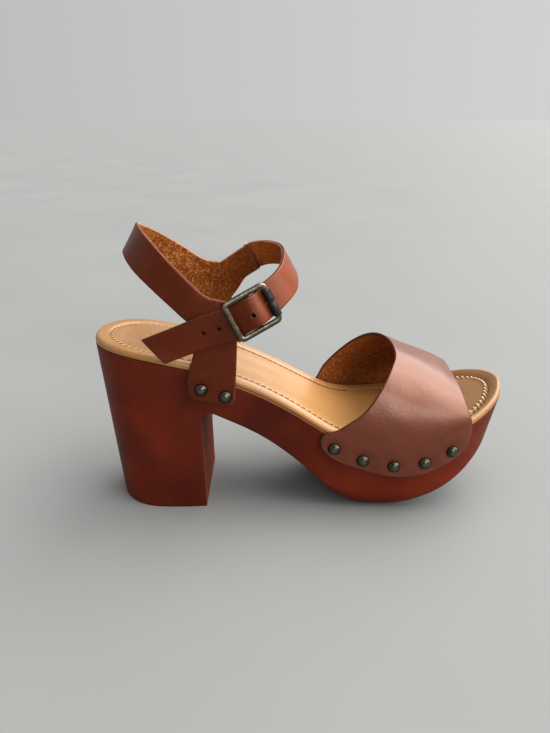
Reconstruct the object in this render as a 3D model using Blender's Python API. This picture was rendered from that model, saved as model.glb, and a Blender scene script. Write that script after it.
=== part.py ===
"""Right platform sandal: block-heel platform, padded footbed, nailed vamp, ankle strap and buckle.

Working unit here is the millimetre; every vertex is scaled to metres as it is stored.
+X runs from heel to toe, +Z is up, the lateral side is -Y and the medial side +Y.
The sole stands on z = 0.
"""
import math

import bmesh
import bpy
import numpy as np

MM = 0.001
GAP = 0.3                 # clearance kept between curved pieces
X_SHIFT = -120.5          # heel back sits at 0 in the tables, the frame is centred on the length
Y_SHIFT = -5.85           # and on the width over buckle and nails
LEATHER = 2.0             # upper leather
BILLET = 1.8              # strap through the buckle
RIM_H = 4.6               # height of the rolled footbed rim

# ------------------------------------------------------------------ tables
# One row per section of the wooden platform, heel to toe.
# x_t/lat_t/med_t/z_t: upper edge. x_b/lat_b/med_b/z_b: lower edge. rnd: lower edge rounding. scoop: breast hollow.
PLATFORM_COLS = ("x_t", "lat_t", "med_t", "z_t", "x_b", "lat_b", "med_b", "z_b", "rnd", "scoop")
PLATFORM = (
    (0.0, 0.0, 0.0, 97.0, 9.5, 0.0, 0.0, 0.0, 1.2, 0.0),
    (1.6, 9.5, 9.5, 97.0, 10.9, 8.8, 8.8, 0.0, 1.2, 0.0),
    (6.0, 17.8, 17.8, 96.9, 15.0, 17.0, 17.0, 0.0, 1.2, 0.0),
    (13.0, 24.5, 24.5, 96.3, 21.2, 23.6, 23.6, 0.0, 1.2, 0.0),
    (22.0, 28.8, 28.8, 95.2, 29.0, 27.6, 27.6, 0.0, 1.2, 0.0),
    (34.0, 30.8, 30.8, 93.0, 39.0, 29.0, 29.0, 0.0, 1.2, 0.0),
    (47.0, 31.1, 31.0, 90.2, 50.5, 29.0, 29.2, 0.0, 1.2, 0.0),
    (58.0, 31.0, 30.7, 87.7, 60.5, 28.4, 29.2, 0.0, 1.2, 0.0),
    (60.6, 31.0, 30.6, 87.0, 63.1, 28.0, 29.2, 0.0, 1.0, 0.0),
    (61.6, 31.0, 30.6, 86.7, 62.4, 28.9, 29.4, 30.0, 0.8, 0.9),
    (62.6, 31.0, 30.5, 86.4, 61.7, 29.6, 29.4, 55.0, 0.8, 0.9),
    (63.8, 30.9, 30.5, 86.0, 62.8, 29.7, 29.3, 60.2, 0.8, 0.5),
    (66.2, 30.9, 30.4, 85.2, 67.0, 29.7, 29.2, 61.8, 0.8, 0.0),
    (78.0, 30.4, 29.8, 80.6, 78.0, 29.2, 28.6, 57.0, 0.8, 0.0),
    (95.0, 30.1, 29.6, 73.4, 95.0, 28.8, 28.3, 48.2, 0.8, 0.0),
    (112.0, 30.4, 31.4, 64.0, 112.0, 29.0, 30.0, 35.6, 1.0, 0.0),
    (126.0, 31.5, 34.7, 55.2, 126.0, 29.8, 33.0, 22.8, 1.8, 0.0),
    (134.0, 32.4, 37.3, 50.4, 134.0, 30.4, 35.2, 14.2, 3.0, 0.0),
    (142.0, 33.3, 39.9, 46.7, 142.0, 30.4, 37.0, 7.2, 6.0, 0.0),
    (150.0, 34.0, 42.1, 44.9, 150.0, 30.2, 38.3, 2.2, 9.0, 0.0),
    (157.0, 34.5, 43.7, 44.2, 157.0, 30.2, 39.4, 0.0, 11.0, 0.0),
    (169.0, 35.1, 45.8, 44.2, 169.0, 30.7, 41.4, 0.0, 11.0, 0.0),
    (176.0, 35.2, 46.6, 44.7, 176.0, 31.2, 42.6, 1.2, 10.0, 0.0),
    (184.0, 35.1, 47.0, 45.6, 184.0, 31.8, 43.7, 3.9, 8.0, 0.0),
    (195.0, 34.3, 46.6, 47.6, 194.5, 31.6, 43.9, 9.0, 5.6, 0.0),
    (207.0, 32.2, 45.2, 50.8, 205.5, 29.9, 42.8, 16.2, 3.4, 0.0),
    (216.0, 28.6, 43.2, 53.8, 213.6, 26.4, 40.8, 22.4, 2.6, 0.0),
    (223.0, 24.2, 39.7, 56.8, 219.6, 22.2, 37.4, 27.4, 2.2, 0.0),
    (229.0, 19.0, 34.6, 59.5, 224.6, 17.0, 32.3, 31.6, 2.0, 0.0),
    (235.0, 11.0, 27.4, 62.2, 229.6, 9.4, 25.3, 35.6, 1.8, 0.0),
    (239.0, 1.0, 19.2, 64.0, 233.0, 0.2, 17.7, 38.0, 1.8, 0.0),
    (241.0, -9.0, 9.0, 64.8, 234.8, -9.0, 9.0, 39.0, 1.8, 0.0),
)

# Footbed profile from the outside in: how far inside the outline, how far above the wood.
FOOTBED_COLS = ("inset", "rise")
FOOTBED = ((0.7, 0.0), (0.1, 0.9), (0.0, 2.0), (0.5, 3.4), (1.7, 4.3), (3.2, RIM_H), (4.6, 4.3), (5.8, 3.7), (7.4, 3.9))
FOOTBED_DISH = 0.9        # how far the middle lies under the padding inside the stitch line

# Vamp: arch height over the footbed rim and depth of the nailed flank, by length.
VAMP_COLS = ("x", "arch", "flank")
VAMP = ((125.0, 48.9, 16.2), (140.0, 48.5, 17.2), (152.0, 47.4, 18.4), (165.0, 44.3, 21.6), (180.0, 36.6, 23.4),
        (190.0, 31.3, 22.8), (200.0, 24.6, 20.2), (212.0, 14.2, 17.2), (220.0, 8.0, 16.0))
VAMP_POWER = 2.35         # superellipse power of the arch
# Vamp outline across the foot: v = -2 lateral lower edge, -1 lateral rim, 0 top, +1 medial rim, +2 medial lower edge.
VAMP_EDGE_COLS = ("v", "x_throat", "x_toe")
VAMP_EDGE = (
    (-2.06, 138.0, 206.5), (-2.02, 133.6, 209.8), (-1.92, 131.0, 211.6), (-1.72, 129.8, 213.2), (-1.45, 130.6, 214.2),
    (-1.20, 134.5, 214.0), (-1.00, 139.6, 213.4), (-0.86, 152.2, 212.5), (-0.70, 160.0, 211.0), (-0.43, 168.3, 209.2),
    (-0.16, 172.7, 208.3), (0.05, 172.4, 207.9), (0.20, 168.7, 207.9), (0.45, 158.3, 208.8), (0.70, 146.2, 210.4),
    (1.00, 132.6, 212.8), (1.25, 129.2, 213.5), (1.72, 128.6, 212.8), (1.92, 130.2, 211.2), (2.02, 132.8, 209.4),
    (2.06, 137.4, 206.0))

# Ankle surface: height, x of its back, x of its front, half width, how pointed the back seam is, its lean to one side.
# Straps are cut from it.
ANKLE_COLS = ("z", "x_back", "x_front", "half_w", "pinch", "lean")
ANKLE = ((60.0, 7.0, 127.0, 31.9, 0.0, 0.0), (100.0, 7.0, 127.0, 31.9, 0.0, 0.0), (118.0, 7.0, 123.3, 32.2, 0.0, 0.0),
         (126.0, 9.2, 118.9, 31.6, 0.02, -0.1), (140.0, 16.9, 111.2, 30.2, 0.1, -0.6), (150.0, 22.6, 105.7, 29.4, 0.36, -1.2),
         (163.0, 29.7, 98.6, 28.45, 0.7, -2.0), (170.0, 33.9, 94.7, 28.0, 0.7, -2.2))
ANKLE_X = 68.0            # where the surface is widest
ANKLE_POWER = 2.4

# Ankle strap, lateral tab over the heel to the medial tab. Angle 0 is the heel, + lateral, - medial.
STRAP_COLS = ("rear_deg", "rear_z", "front_deg", "front_z")
STRAP = (
    (84.6, 72.4, 97.6, 68.3), (82.3, 75.6, 99.6, 72.0), (82.1, 80.5, 100.0, 79.0), (83.3, 89.7, 100.5, 87.3),
    (85.3, 99.0, 100.9, 97.0), (86.3, 106.4, 101.3, 105.5), (85.9, 111.5, 101.6, 113.5), (84.2, 115.8, 100.2, 120.0),
    (81.2, 119.2, 96.6, 124.5), (76.0, 124.4, 91.2, 128.8), (68.5, 130.2, 85.5, 135.5), (58.0, 136.3, 77.0, 143.2),
    (45.0, 141.5, 65.0, 151.0), (30.0, 145.6, 48.0, 158.2), (15.0, 147.6, 24.0, 162.2), (0.0, 148.0, 0.0, 162.9),
    (-15.0, 147.4, -24.0, 160.0), (-30.0, 145.2, -46.0, 154.1), (-45.0, 141.0, -62.0, 148.2), (-58.0, 135.8, -73.0, 143.3),
    (-68.5, 128.7, -81.0, 138.3), (-76.0, 122.3, -87.0, 135.0), (-81.5, 116.7, -91.5, 134.3), (-84.5, 112.6, -95.0, 128.0),
    (-86.0, 109.2, -96.4, 120.0), (-86.4, 106.0, -96.0, 112.5), (-86.0, 101.5, -96.4, 107.0), (-85.2, 96.5, -97.6, 100.0),
    (-83.3, 89.0, -99.8, 88.0), (-82.1, 80.5, -100.0, 79.0), (-82.3, 75.6, -99.6, 72.0), (-84.6, 72.4, -97.6, 68.3))
# Two short arms grow forward from the strap's front edge, between the rows named.
ARM_COLS = ("top_deg", "top_z", "low_deg", "low_z")
LATERAL_ARM_ROWS = (6, 9)             # carries the buckle's middle bar
LATERAL_ARM = ((98.5, 127.4, 104.0, 114.8), (106.5, 128.6, 109.0, 116.2), (113.0, 130.0, 114.5, 118.0))
MEDIAL_ARM_ROWS = (22, 25)            # the instep strap is sewn to it
MEDIAL_ARM = ((-99.5, 139.0, -99.6, 117.6), (-107.0, 142.7, -105.4, 124.8), (-114.5, 145.6, -119.0, 131.7))

# Instep strap, sewn end to free end. turn runs from the heel over the medial side; lift is off the ankle surface.
INSTEP_COLS = ("low_turn", "low_z", "top_turn", "top_z", "lift")
INSTEP = (
    (108.5, 127.8, 106.5, 141.8, 2.4), (114.0, 130.2, 110.5, 144.4, 2.4), (119.5, 131.9, 114.5, 145.8, 2.4),
    (127.0, 133.6, 122.0, 147.0, 2.2), (142.5, 135.2, 138.0, 148.4, 0.9), (160.0, 135.4, 155.0, 148.7, 0.4),
    (177.0, 134.6, 171.0, 148.4, 0.4), (191.5, 131.9, 186.0, 147.3, 0.4), (202.5, 128.7, 197.5, 145.2, 0.4),
    (213.5, 126.2, 209.0, 142.6, 0.5), (221.5, 124.0, 223.0, 139.2, 0.7), (233.6, 119.8, 237.2, 135.2, 1.0),
    (239.8, 118.0, 243.4, 132.1, 3.5), (246.0, 115.4, 249.4, 129.9, 5.6), (252.2, 112.1, 255.9, 127.3, 3.9),
    (257.4, 107.9, 260.6, 125.2, 2.5), (267.0, 104.5, 270.2, 121.2, 2.4), (274.3, 100.6, 279.1, 116.2, 2.7),
    (280.5, 97.7, 289.2, 111.4, 3.4), (287.4, 94.6, 299.0, 107.2, 4.9))
RIGHT_BAR_ROW, MID_BAR_ROW, LEFT_BAR_ROW = 11, 13, 15

# Buckle.
BAR_R = 1.35              # frame rod radius
MID_R = 1.0               # middle bar radius
ROLLER_R = 2.25           # roller outside radius
BUCKLE_HALF_H = 10.45     # half height between rod axes
BUCKLE_CORNER = 2.0
BUCKLE_TURN = -6.0        # degrees off square to the strap
ROLLER_FROM, ROLLER_TO = 0.4, 8.1
BUCKLE_GAP = 0.7          # room between the bars and the strap they hold

# Looks: colour, roughness, metallic.
LOOKS = {"wood": ((0.13, 0.022, 0.011), 0.42, 0.0), "insole": ((0.62, 0.33, 0.12), 0.5, 0.0),
         "leather": ((0.19, 0.047, 0.024), 0.45, 0.0), "brass": ((0.20, 0.17, 0.11), 0.35, 1.0),
         "dark_metal": ((0.05, 0.05, 0.045), 0.35, 1.0)}

# Domed nails: x, height above the floor.
STUD_R, STUD_H = 3.6, 2.3
VAMP_STUDS = ((137.6, 42.3), (153.9, 35.4), (171.5, 32.0), (188.8, 34.0), (204.0, 40.6))
TAB_STUDS = ((63.4, 78.2), (76.4, 73.9))


# ------------------------------------------------------------------ helpers
def mono(xs, ys):
    """Monotone cubic through (xs, ys)."""
    xs, ys = np.asarray(xs, float), np.asarray(ys, float)
    h = np.diff(xs)
    d = np.diff(ys) / h
    m = np.zeros(len(xs))
    for i in range(1, len(xs) - 1):
        if d[i - 1] * d[i] > 0:
            w1, w2 = 2 * h[i] + h[i - 1], h[i] + 2 * h[i - 1]
            m[i] = (w1 + w2) / (w1 / d[i - 1] + w2 / d[i])
    m[0], m[-1] = d[0], d[-1]

    def f(x):
        x = np.clip(np.asarray(x, float), xs[0], xs[-1])
        i = np.clip(np.searchsorted(xs, x, side="right") - 1, 0, len(xs) - 2)
        t = (x - xs[i]) / h[i]
        return ((2 * t ** 3 - 3 * t ** 2 + 1) * ys[i] + (t ** 3 - 2 * t ** 2 + t) * h[i] * m[i]
                + (3 * t ** 2 - 2 * t ** 3) * ys[i + 1] + (t ** 3 - t ** 2) * h[i] * m[i + 1])
    return f


def columns(table, cols):
    a = np.asarray(table, float)
    return {c: a[:, i] for i, c in enumerate(cols)}


def refine(table, cols, k):
    """Each interval of the table cut in k, every column carried along by row number."""
    a = columns(table, cols)
    rows = np.arange(len(table))
    t = np.linspace(0, len(table) - 1, (len(table) - 1) * k + 1)
    return {c: mono(rows, a[c])(t) for c in cols}


def unit(v):
    v = np.asarray(v, float)
    return v / np.maximum(np.linalg.norm(v, axis=-1, keepdims=True), 1e-12)


def look(name):
    """Principled material shared by the pieces of one stuff."""
    mat = bpy.data.materials.get(name)
    if mat is None:
        colour, rough, metal = LOOKS[name]
        mat = bpy.data.materials.new(name)
        mat.use_nodes = True
        bsdf = mat.node_tree.nodes["Principled BSDF"]
        bsdf.inputs["Base Color"].default_value = colour + (1.0,)
        bsdf.inputs["Roughness"].default_value = rough
        bsdf.inputs["Metallic"].default_value = metal
    return mat


def stuff(name):
    if name.startswith("platform"):
        return "wood"
    if name.startswith("footbed"):
        return "insole"
    if "stud" in name or "roller" in name:
        return "dark_metal"
    return "brass" if name.startswith("buckle") else "leather"


def make(name, verts, faces):
    """A closed mesh object, welded, normals outward."""
    verts = (np.asarray(verts, float) + np.array([X_SHIFT, Y_SHIFT, 0.0])) * MM
    me = bpy.data.meshes.new(name)
    me.from_pydata([tuple(v) for v in verts], [], [tuple(f) for f in faces])
    bm = bmesh.new()
    bm.from_mesh(me)
    bmesh.ops.remove_doubles(bm, verts=bm.verts, dist=2e-6)
    bmesh.ops.dissolve_degenerate(bm, edges=bm.edges, dist=1e-6)
    bmesh.ops.triangulate(bm, faces=bm.faces)
    bmesh.ops.recalc_face_normals(bm, faces=bm.faces)
    if bm.calc_volume(signed=True) < 0:
        bmesh.ops.reverse_faces(bm, faces=bm.faces)
    bm.to_mesh(me)
    bm.free()
    me.shade_smooth()
    me.set_sharp_from_angle(angle=math.radians(40.0))
    me.materials.append(look(stuff(name)))
    ob = bpy.data.objects.new(name, me)
    bpy.context.scene.collection.objects.link(ob)
    return ob


def loft(name, rings):
    """Closed rings of equal length joined one after another; end rings may be folded flat."""
    n = len(rings[0])
    verts = [p for r in rings for p in r]
    faces = []
    for i in range(len(rings) - 1):
        for j in range(n):
            a, b = i * n + j, i * n + (j + 1) % n
            faces.append((a, b, b + n, a + n))
    return make(name, verts, faces)


def thicken(name, inner, quads, outer):
    """A sheet given by its inner and outer vertices, closed round its border."""
    n = len(inner)
    faces, count = [], {}
    for q in quads:
        faces.append(tuple(q))
        faces.append(tuple(n + i for i in reversed(q)))
        for a, b in zip(q, q[1:] + q[:1]):
            count[(a, b)] = count.get((a, b), 0) + 1
    for (a, b) in count:
        if (b, a) not in count:
            faces.append((b, a, n + a, n + b))
    return make(name, np.vstack([inner, outer]), faces)


def grid_quads(rows, cols, index):
    return [[index(i, j), index(i, j + 1), index(i + 1, j + 1), index(i + 1, j)]
            for i in range(rows - 1) for j in range(cols - 1)]


# ------------------------------------------------------------------ sole
P = columns(PLATFORM, PLATFORM_COLS)
lat = mono(P["x_t"], P["lat_t"])
med = mono(P["x_t"], P["med_t"])
z_wood = mono(P["x_t"], P["z_t"])
ARCH0 = 12                                        # first row past the breast
z_under = mono(P["x_b"][ARCH0:], P["z_b"][ARCH0:])


def outline(s):
    """Plan of the upper edge at the refined sections: lateral and medial points with inward normals."""
    L = np.stack([s["x_t"], -s["lat_t"]], -1)
    M = np.stack([s["x_t"], s["med_t"]], -1)

    def inward(c, sign):
        g = np.gradient(c, axis=0)
        n = unit(np.stack([-g[:, 1], g[:, 0]], -1)) * sign
        n[0], n[-1] = (1.0, 0.0), (-1.0, 0.0)
        return n
    return L, M, inward(L, 1.0), inward(M, -1.0)


def platform(k=2, n_top=5, n_side=3, n_arc=3, n_bot=6):
    s = refine(PLATFORM, PLATFORM_COLS, k)
    L, M, nl, nm = outline(s)
    rings = []
    for i in range(len(s["x_t"])):
        zt, zb, r = s["z_t"][i], s["z_b"][i], s["rnd"][i]
        past = i >= ARCH0 * k
        top = [(L[i, 0], L[i, 1] + (M[i, 1] - L[i, 1]) * t, zt) for t in np.linspace(0, 1, n_top)]

        def side(yt, yb, n):
            a = np.array([s["x_t"][i], yt, zt])
            b = np.array([s["x_b"][i], yb, zb])
            half = 0.5 * abs(s["lat_b"][i] + s["med_b"][i])
            ri = min(r, 0.8 * half) if half > 0.05 else r
            e = b + np.array([n[0] * ri, n[1] * ri, 0.0])
            if past:
                e[2] = z_under(e[0])
            c = b + unit(a - b) * r
            pts = [a + (c - a) * t for t in np.linspace(0, 1, n_side + 1)[1:]]
            pts += [c * (1 - t) ** 2 + b * 2 * t * (1 - t) + e * t ** 2 for t in np.linspace(0, 1, n_arc + 1)[1:]]
            return pts
        down = side(M[i, 1], s["med_b"][i], nm[i])
        up = side(L[i, 1], -s["lat_b"][i], nl[i])
        e1, e0 = down[-1], up[-1]
        bot = []
        for t in np.linspace(0, 1, n_bot + 1)[1:-1]:
            p = e1 + (e0 - e1) * t
            p[0] -= s["scoop"][i] * (1 - (2 * t - 1) ** 2)
            bot.append(p)
        rings.append(top + down + bot + up[::-1])
    return loft("platform_sole", rings)


def footbed(k=2, n_mid=6):
    s = refine(PLATFORM, PLATFORM_COLS, k)
    L, M, nl, nm = outline(s)
    f = columns(FOOTBED, FOOTBED_COLS)
    rings = []
    for i in range(len(s["x_t"])):
        half = 0.5 * (M[i, 1] - L[i, 1])

        def rail(p, n):
            pts = []
            for d, h in zip(f["inset"], f["rise"]):
                q = p + n * d
                pts.append(np.array([q[0], q[1], z_wood(q[0]) + GAP + h]))
            return pts
        a, b = rail(L[i], nl[i]), rail(M[i], nm[i])
        mid = []
        for t in np.linspace(0, 1, n_mid + 1)[1:-1]:
            p = a[-1] + (b[-1] - a[-1]) * t
            p[2] -= FOOTBED_DISH * (1 - (2 * t - 1) ** 4) * min(1.0, half / 20.0)
            mid.append(p)
        low = [b[0] + (a[0] - b[0]) * t for t in np.linspace(0, 1, n_mid + 1)[1:-1]]
        rings.append(a + mid + b[::-1] + low)
    return loft("footbed", rings)


# ------------------------------------------------------------------ vamp
V = columns(VAMP, VAMP_COLS)
vamp_arch, vamp_flank = mono(V["x"], V["arch"]), mono(V["x"], V["flank"])
E = columns(VAMP_EDGE, VAMP_EDGE_COLS)
edge_throat, edge_toe = mono(E["v"], E["x_throat"]), mono(E["v"], E["x_toe"])
taper_lat = mono(P["x_t"][ARCH0:], (P["lat_t"] - P["lat_b"])[ARCH0:] / (P["z_t"] - P["z_b"])[ARCH0:])
taper_med = mono(P["x_t"][ARCH0:], (P["med_t"] - P["med_b"])[ARCH0:] / (P["z_t"] - P["z_b"])[ARCH0:])


def vamp_point(x, v):
    """Inner face of the vamp: flank on the wood, arch over the footbed."""
    yl, ym = -(lat(x) + 0.45), med(x) + 0.45
    half, mid = 0.5 * (ym - yl), 0.5 * (ym + yl)
    th = np.radians(np.clip((1 + v) * 90.0, 0.0, 180.0))
    c, sn = np.cos(th), np.abs(np.sin(th))
    y = mid - half * np.sign(c) * np.abs(c) ** (2 / VAMP_POWER)
    z = z_wood(x) + RIM_H + GAP + vamp_arch(x) * sn ** (2 / VAMP_POWER)
    z = z - np.maximum(np.abs(v) - 1, 0) * vamp_flank(x)
    drop = np.maximum(z_wood(x) - z, 0.0) * (np.abs(v) > 1)
    y = y + np.where(v < 0, taper_lat(x) * drop, -taper_med(x) * drop) * 0.9
    return np.stack([x, y, z], -1)


def surface_normals(f, u, w, du=1e-3, dw=1e-3):
    a = (f(u + du, w) - f(u - du, w))
    b = (f(u, w + dw) - f(u, w - dw))
    return unit(np.cross(a, b))


def vamp_rows(n_flank, n_arch):
    a = np.linspace(-2.06, -1.0, n_flank + 1)
    m = np.linspace(-1.0, 1.0, n_arch + 1)[1:-1]
    # finer toward the lower edge, where the corners turn
    a = -2.06 + 1.06 * np.linspace(0, 1, n_flank + 1) ** 1.7
    return np.concatenate([a, m, -a[::-1]])


def vamp(n_flank=7, n_arch=26, n_len=10):
    vs = vamp_rows(n_flank, n_arch)
    inner, outer = [], []
    for v in vs:
        x = np.linspace(edge_throat(v), edge_toe(v), n_len + 1)
        vv = np.full_like(x, v)
        p = vamp_point(x, vv)
        n = surface_normals(vamp_point, x, vv)
        ref = np.stack([np.zeros_like(x), p[:, 1] - 6.0, p[:, 2] - (z_wood(x) - 12.0)], -1)
        n = n * np.sign((n * ref).sum(-1, keepdims=True))
        inner.append(p)
        outer.append(p + n * LEATHER)
    m = n_len + 1
    quads = grid_quads(len(vs), m, lambda i, j: i * m + j)
    return thicken("vamp", np.vstack(inner), quads, np.vstack(outer))


# ------------------------------------------------------------------ straps
K = columns(ANKLE, ANKLE_COLS)
ank_back, ank_front, ank_w, ank_pinch, ank_lean = (mono(K["z"], K[c]) for c in ANKLE_COLS[1:])


def ankle_point(deg, z):
    ph = np.radians(deg)
    c, sn = np.cos(ph), np.sin(ph)
    a = np.where(c > 0, ANKLE_X - ank_back(z), ank_front(z) - ANKLE_X)
    q, back = 2 / ANKLE_POWER, np.maximum(c, 0.0)
    x = ANKLE_X - a * np.sign(c) * np.abs(c) ** q
    y = -ank_w(z) * np.sign(sn) * np.abs(sn) ** (q + ank_pinch(z) * back ** 3) + ank_lean(z) * back ** 2
    return np.stack([x, y, z + 0 * x], -1)


def ankle_normal(deg, z):
    """Outward, smoothed over a few degrees so the flats of the superellipse stay even."""
    a = ankle_point(deg + 2.0, z) - ankle_point(deg - 2.0, z)
    b = ankle_point(deg, z + 1.5) - ankle_point(deg, z - 1.5)
    n = unit(np.cross(a, b))
    ref = ankle_point(deg, z) - np.array([ANKLE_X, 0.0, 0.0])
    ref[..., 2] = 0.0
    return n * np.sign((n * ref).sum(-1, keepdims=True))


def ankle_strap(k=2, n_across=4):
    s = refine(STRAP, STRAP_COLS, k)
    deg, z, ids = [], [], {}

    def add(d, h):
        deg.append(d)
        z.append(h)
        return len(deg) - 1
    m = n_across + 1
    rows = len(s["rear_deg"])
    for i in range(rows):
        for j in range(m):
            t = j / n_across
            ids[i, j] = add(s["rear_deg"][i] * (1 - t) + s["front_deg"][i] * t, s["rear_z"][i] * (1 - t) + s["front_z"][i] * t)
    quads = grid_quads(rows, m, lambda i, j: ids[i, j])
    for (r0, r1), table, flip in ((LATERAL_ARM_ROWS, LATERAL_ARM, True), (MEDIAL_ARM_ROWS, MEDIAL_ARM, False)):
        base = [ids[i, m - 1] for i in range(r0 * k, r1 * k + 1)]
        if flip:
            base = base[::-1]                   # top to bottom on both sides
        n = len(base)
        first = (deg[base[0]], z[base[0]], deg[base[-1]], z[base[-1]])
        arm = refine((first,) + tuple(table), ARM_COLS, k)
        last = base
        for i in range(1, len(arm["top_deg"])):
            line = []
            for j in range(n):
                t = j / (n - 1)
                # keep the base's own curve close to the strap and straighten it outward
                fade = max(0.0, 1.0 - i / (len(arm["top_deg"]) - 1.0)) ** 1.5
                bend_d = deg[base[j]] - (first[0] * (1 - t) + first[2] * t)
                bend_z = z[base[j]] - (first[1] * (1 - t) + first[3] * t)
                line.append(add(arm["top_deg"][i] * (1 - t) + arm["low_deg"][i] * t + bend_d * fade,
                                arm["top_z"][i] * (1 - t) + arm["low_z"][i] * t + bend_z * fade))
            for j in range(n - 1):
                q = [last[j], line[j], line[j + 1], last[j + 1]]
                quads.append(q[::-1] if flip else q)
            last = line
    deg, z = np.array(deg), np.array(z)
    p = ankle_point(deg, z)
    return thicken("ankle_strap", p, quads, p + ankle_normal(deg, z) * LEATHER)


def instep_point(s, i, t, extra):
    turn = s["low_turn"][i] * (1 - t) + s["top_turn"][i] * t
    z = s["low_z"][i] * (1 - t) + s["top_z"][i] * t
    return ankle_point(-turn, z) + ankle_normal(-turn, z) * (s["lift"][i] + extra)


def instep_strap(k=3, n_across=4):
    s = refine(INSTEP, INSTEP_COLS, k)
    m = n_across + 1
    rows = len(s["lift"])
    t = np.linspace(0, 1, m)
    mid = [np.stack([instep_point(s, i, w, 0.0) for w in t]) for i in range(rows)]
    mid = np.stack(mid)
    along, across = np.gradient(mid, axis=0), np.gradient(mid, axis=1)
    n = unit(np.cross(along, across))
    out = mid - np.array([ANKLE_X, 0.0, 0.0])
    out[..., 2] = 0.0
    n = n * np.sign((n * out).sum(-1, keepdims=True))
    quads = grid_quads(rows, m, lambda i, j: i * m + j)
    return thicken("instep_strap", mid.reshape(-1, 3), quads, (mid + n * BILLET).reshape(-1, 3))


# ------------------------------------------------------------------ buckle
def buckle_frame_axes():
    """Centre, along, across and outward axes of the buckle, half length between bars, middle bar drop."""
    s = columns(INSTEP, INSTEP_COLS)
    left = instep_point(s, LEFT_BAR_ROW, 0.5, BILLET + BUCKLE_GAP + BAR_R)
    right = instep_point(s, RIGHT_BAR_ROW, 0.5, BILLET + BUCKLE_GAP + ROLLER_R)
    mid = instep_point(s, MID_BAR_ROW, 0.5, -BUCKLE_GAP - MID_R)
    e1 = unit(right - left)
    up = instep_point(s, LEFT_BAR_ROW, 1.0, 0.0) - instep_point(s, LEFT_BAR_ROW, 0.0, 0.0)
    up = up + instep_point(s, RIGHT_BAR_ROW, 1.0, 0.0) - instep_point(s, RIGHT_BAR_ROW, 0.0, 0.0)
    e2 = unit(up - e1 * (up @ e1))
    e3 = np.cross(e1, e2)
    if e3[1] > 0:
        e3 = -e3
    c = 0.5 * (left + right)
    half = 0.5 * np.linalg.norm(right - left)
    t = math.radians(BUCKLE_TURN)
    e1, e2 = e1 * math.cos(t) + e2 * math.sin(t), e2 * math.cos(t) - e1 * math.sin(t)
    return c, e1, e2, e3, half, (mid - c) @ e1, (mid - c) @ e3


def rod_ring(path, nrm, radius, seg):
    """Closed tube round a closed path; nrm is the frame's outward axis."""
    n = len(path)
    tang = unit(np.roll(path, -1, axis=0) - np.roll(path, 1, axis=0))
    sidev = unit(np.cross(tang, nrm))
    verts = []
    for i in range(n):
        for j in range(seg):
            a = 2 * math.pi * j / seg
            verts.append(path[i] + sidev[i] * radius * math.cos(a) + nrm * radius * math.sin(a))
    faces = [(i * seg + j, i * seg + (j + 1) % seg, ((i + 1) % n) * seg + (j + 1) % seg, ((i + 1) % n) * seg + j)
             for i in range(n) for j in range(seg)]
    return verts, faces


def rounded_rectangle(hx, hy, r, per):
    pts = []
    for cx, cy, a0 in ((hx - r, hy - r, 0), (-hx + r, hy - r, 90), (-hx + r, -hy + r, 180), (hx - r, -hy + r, 270)):
        for i in range(per + 1):
            a = math.radians(a0 + 90.0 * i / per)
            pts.append((cx + r * math.cos(a), cy + r * math.sin(a)))
    return np.array(pts)


def cylinder(a, b, radius, seg):
    d = unit(b - a)
    u = unit(np.cross(d, (0.3, 0.2, 0.9)))
    w = np.cross(d, u)
    ring = [u * math.cos(2 * math.pi * j / seg) + w * math.sin(2 * math.pi * j / seg) for j in range(seg)]
    verts = [a + r * radius for r in ring] + [b + r * radius for r in ring]
    faces = [(j, (j + 1) % seg, seg + (j + 1) % seg, seg + j) for j in range(seg)]
    faces += [tuple(range(seg)), tuple(range(2 * seg - 1, seg - 1, -1))]
    return verts, faces


def buckle(per=4, seg=8):
    c, e1, e2, e3, half, mid_x, mid_h = buckle_frame_axes()
    flat = rounded_rectangle(half, BUCKLE_HALF_H, BUCKLE_CORNER, per)
    path = c + flat[:, :1] * e1 + flat[:, 1:] * e2
    frame = make("buckle_frame", *rod_ring(path, e3, BAR_R, seg))
    m = c + e1 * mid_x + e3 * mid_h
    bar = make("bar", *cylinder(m - e2 * BUCKLE_HALF_H, m + e2 * BUCKLE_HALF_H, MID_R, seg))
    mod = frame.modifiers.new("join", "BOOLEAN")
    mod.operation, mod.solver, mod.object = "UNION", "EXACT", bar
    me = bpy.data.meshes.new_from_object(frame.evaluated_get(bpy.context.evaluated_depsgraph_get()))
    frame.modifiers.clear()
    frame.data = me
    me.name = "buckle_frame"
    bpy.data.objects.remove(bar, do_unlink=True)
    r = c + e1 * half
    for name, sign in (("buckle_roller_upper", 1.0), ("buckle_roller_lower", -1.0)):
        a, b = r + e2 * sign * ROLLER_FROM, r + e2 * sign * ROLLER_TO
        tube(name, a, b, BAR_R + GAP, ROLLER_R, 14)


def tube(name, a, b, r_in, r_out, seg):
    d = unit(b - a)
    u = unit(np.cross(d, (0.3, 0.2, 0.9)))
    w = np.cross(d, u)
    verts = []
    for p, r in ((a, r_in), (a, r_out), (b, r_out), (b, r_in)):
        for j in range(seg):
            t = 2 * math.pi * j / seg
            verts.append(p + (u * math.cos(t) + w * math.sin(t)) * r)
    faces = [(i * seg + j, i * seg + (j + 1) % seg, ((i + 1) % 4) * seg + (j + 1) % seg, ((i + 1) % 4) * seg + j)
             for i in range(4) for j in range(seg)]
    return make(name, verts, faces)


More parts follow.
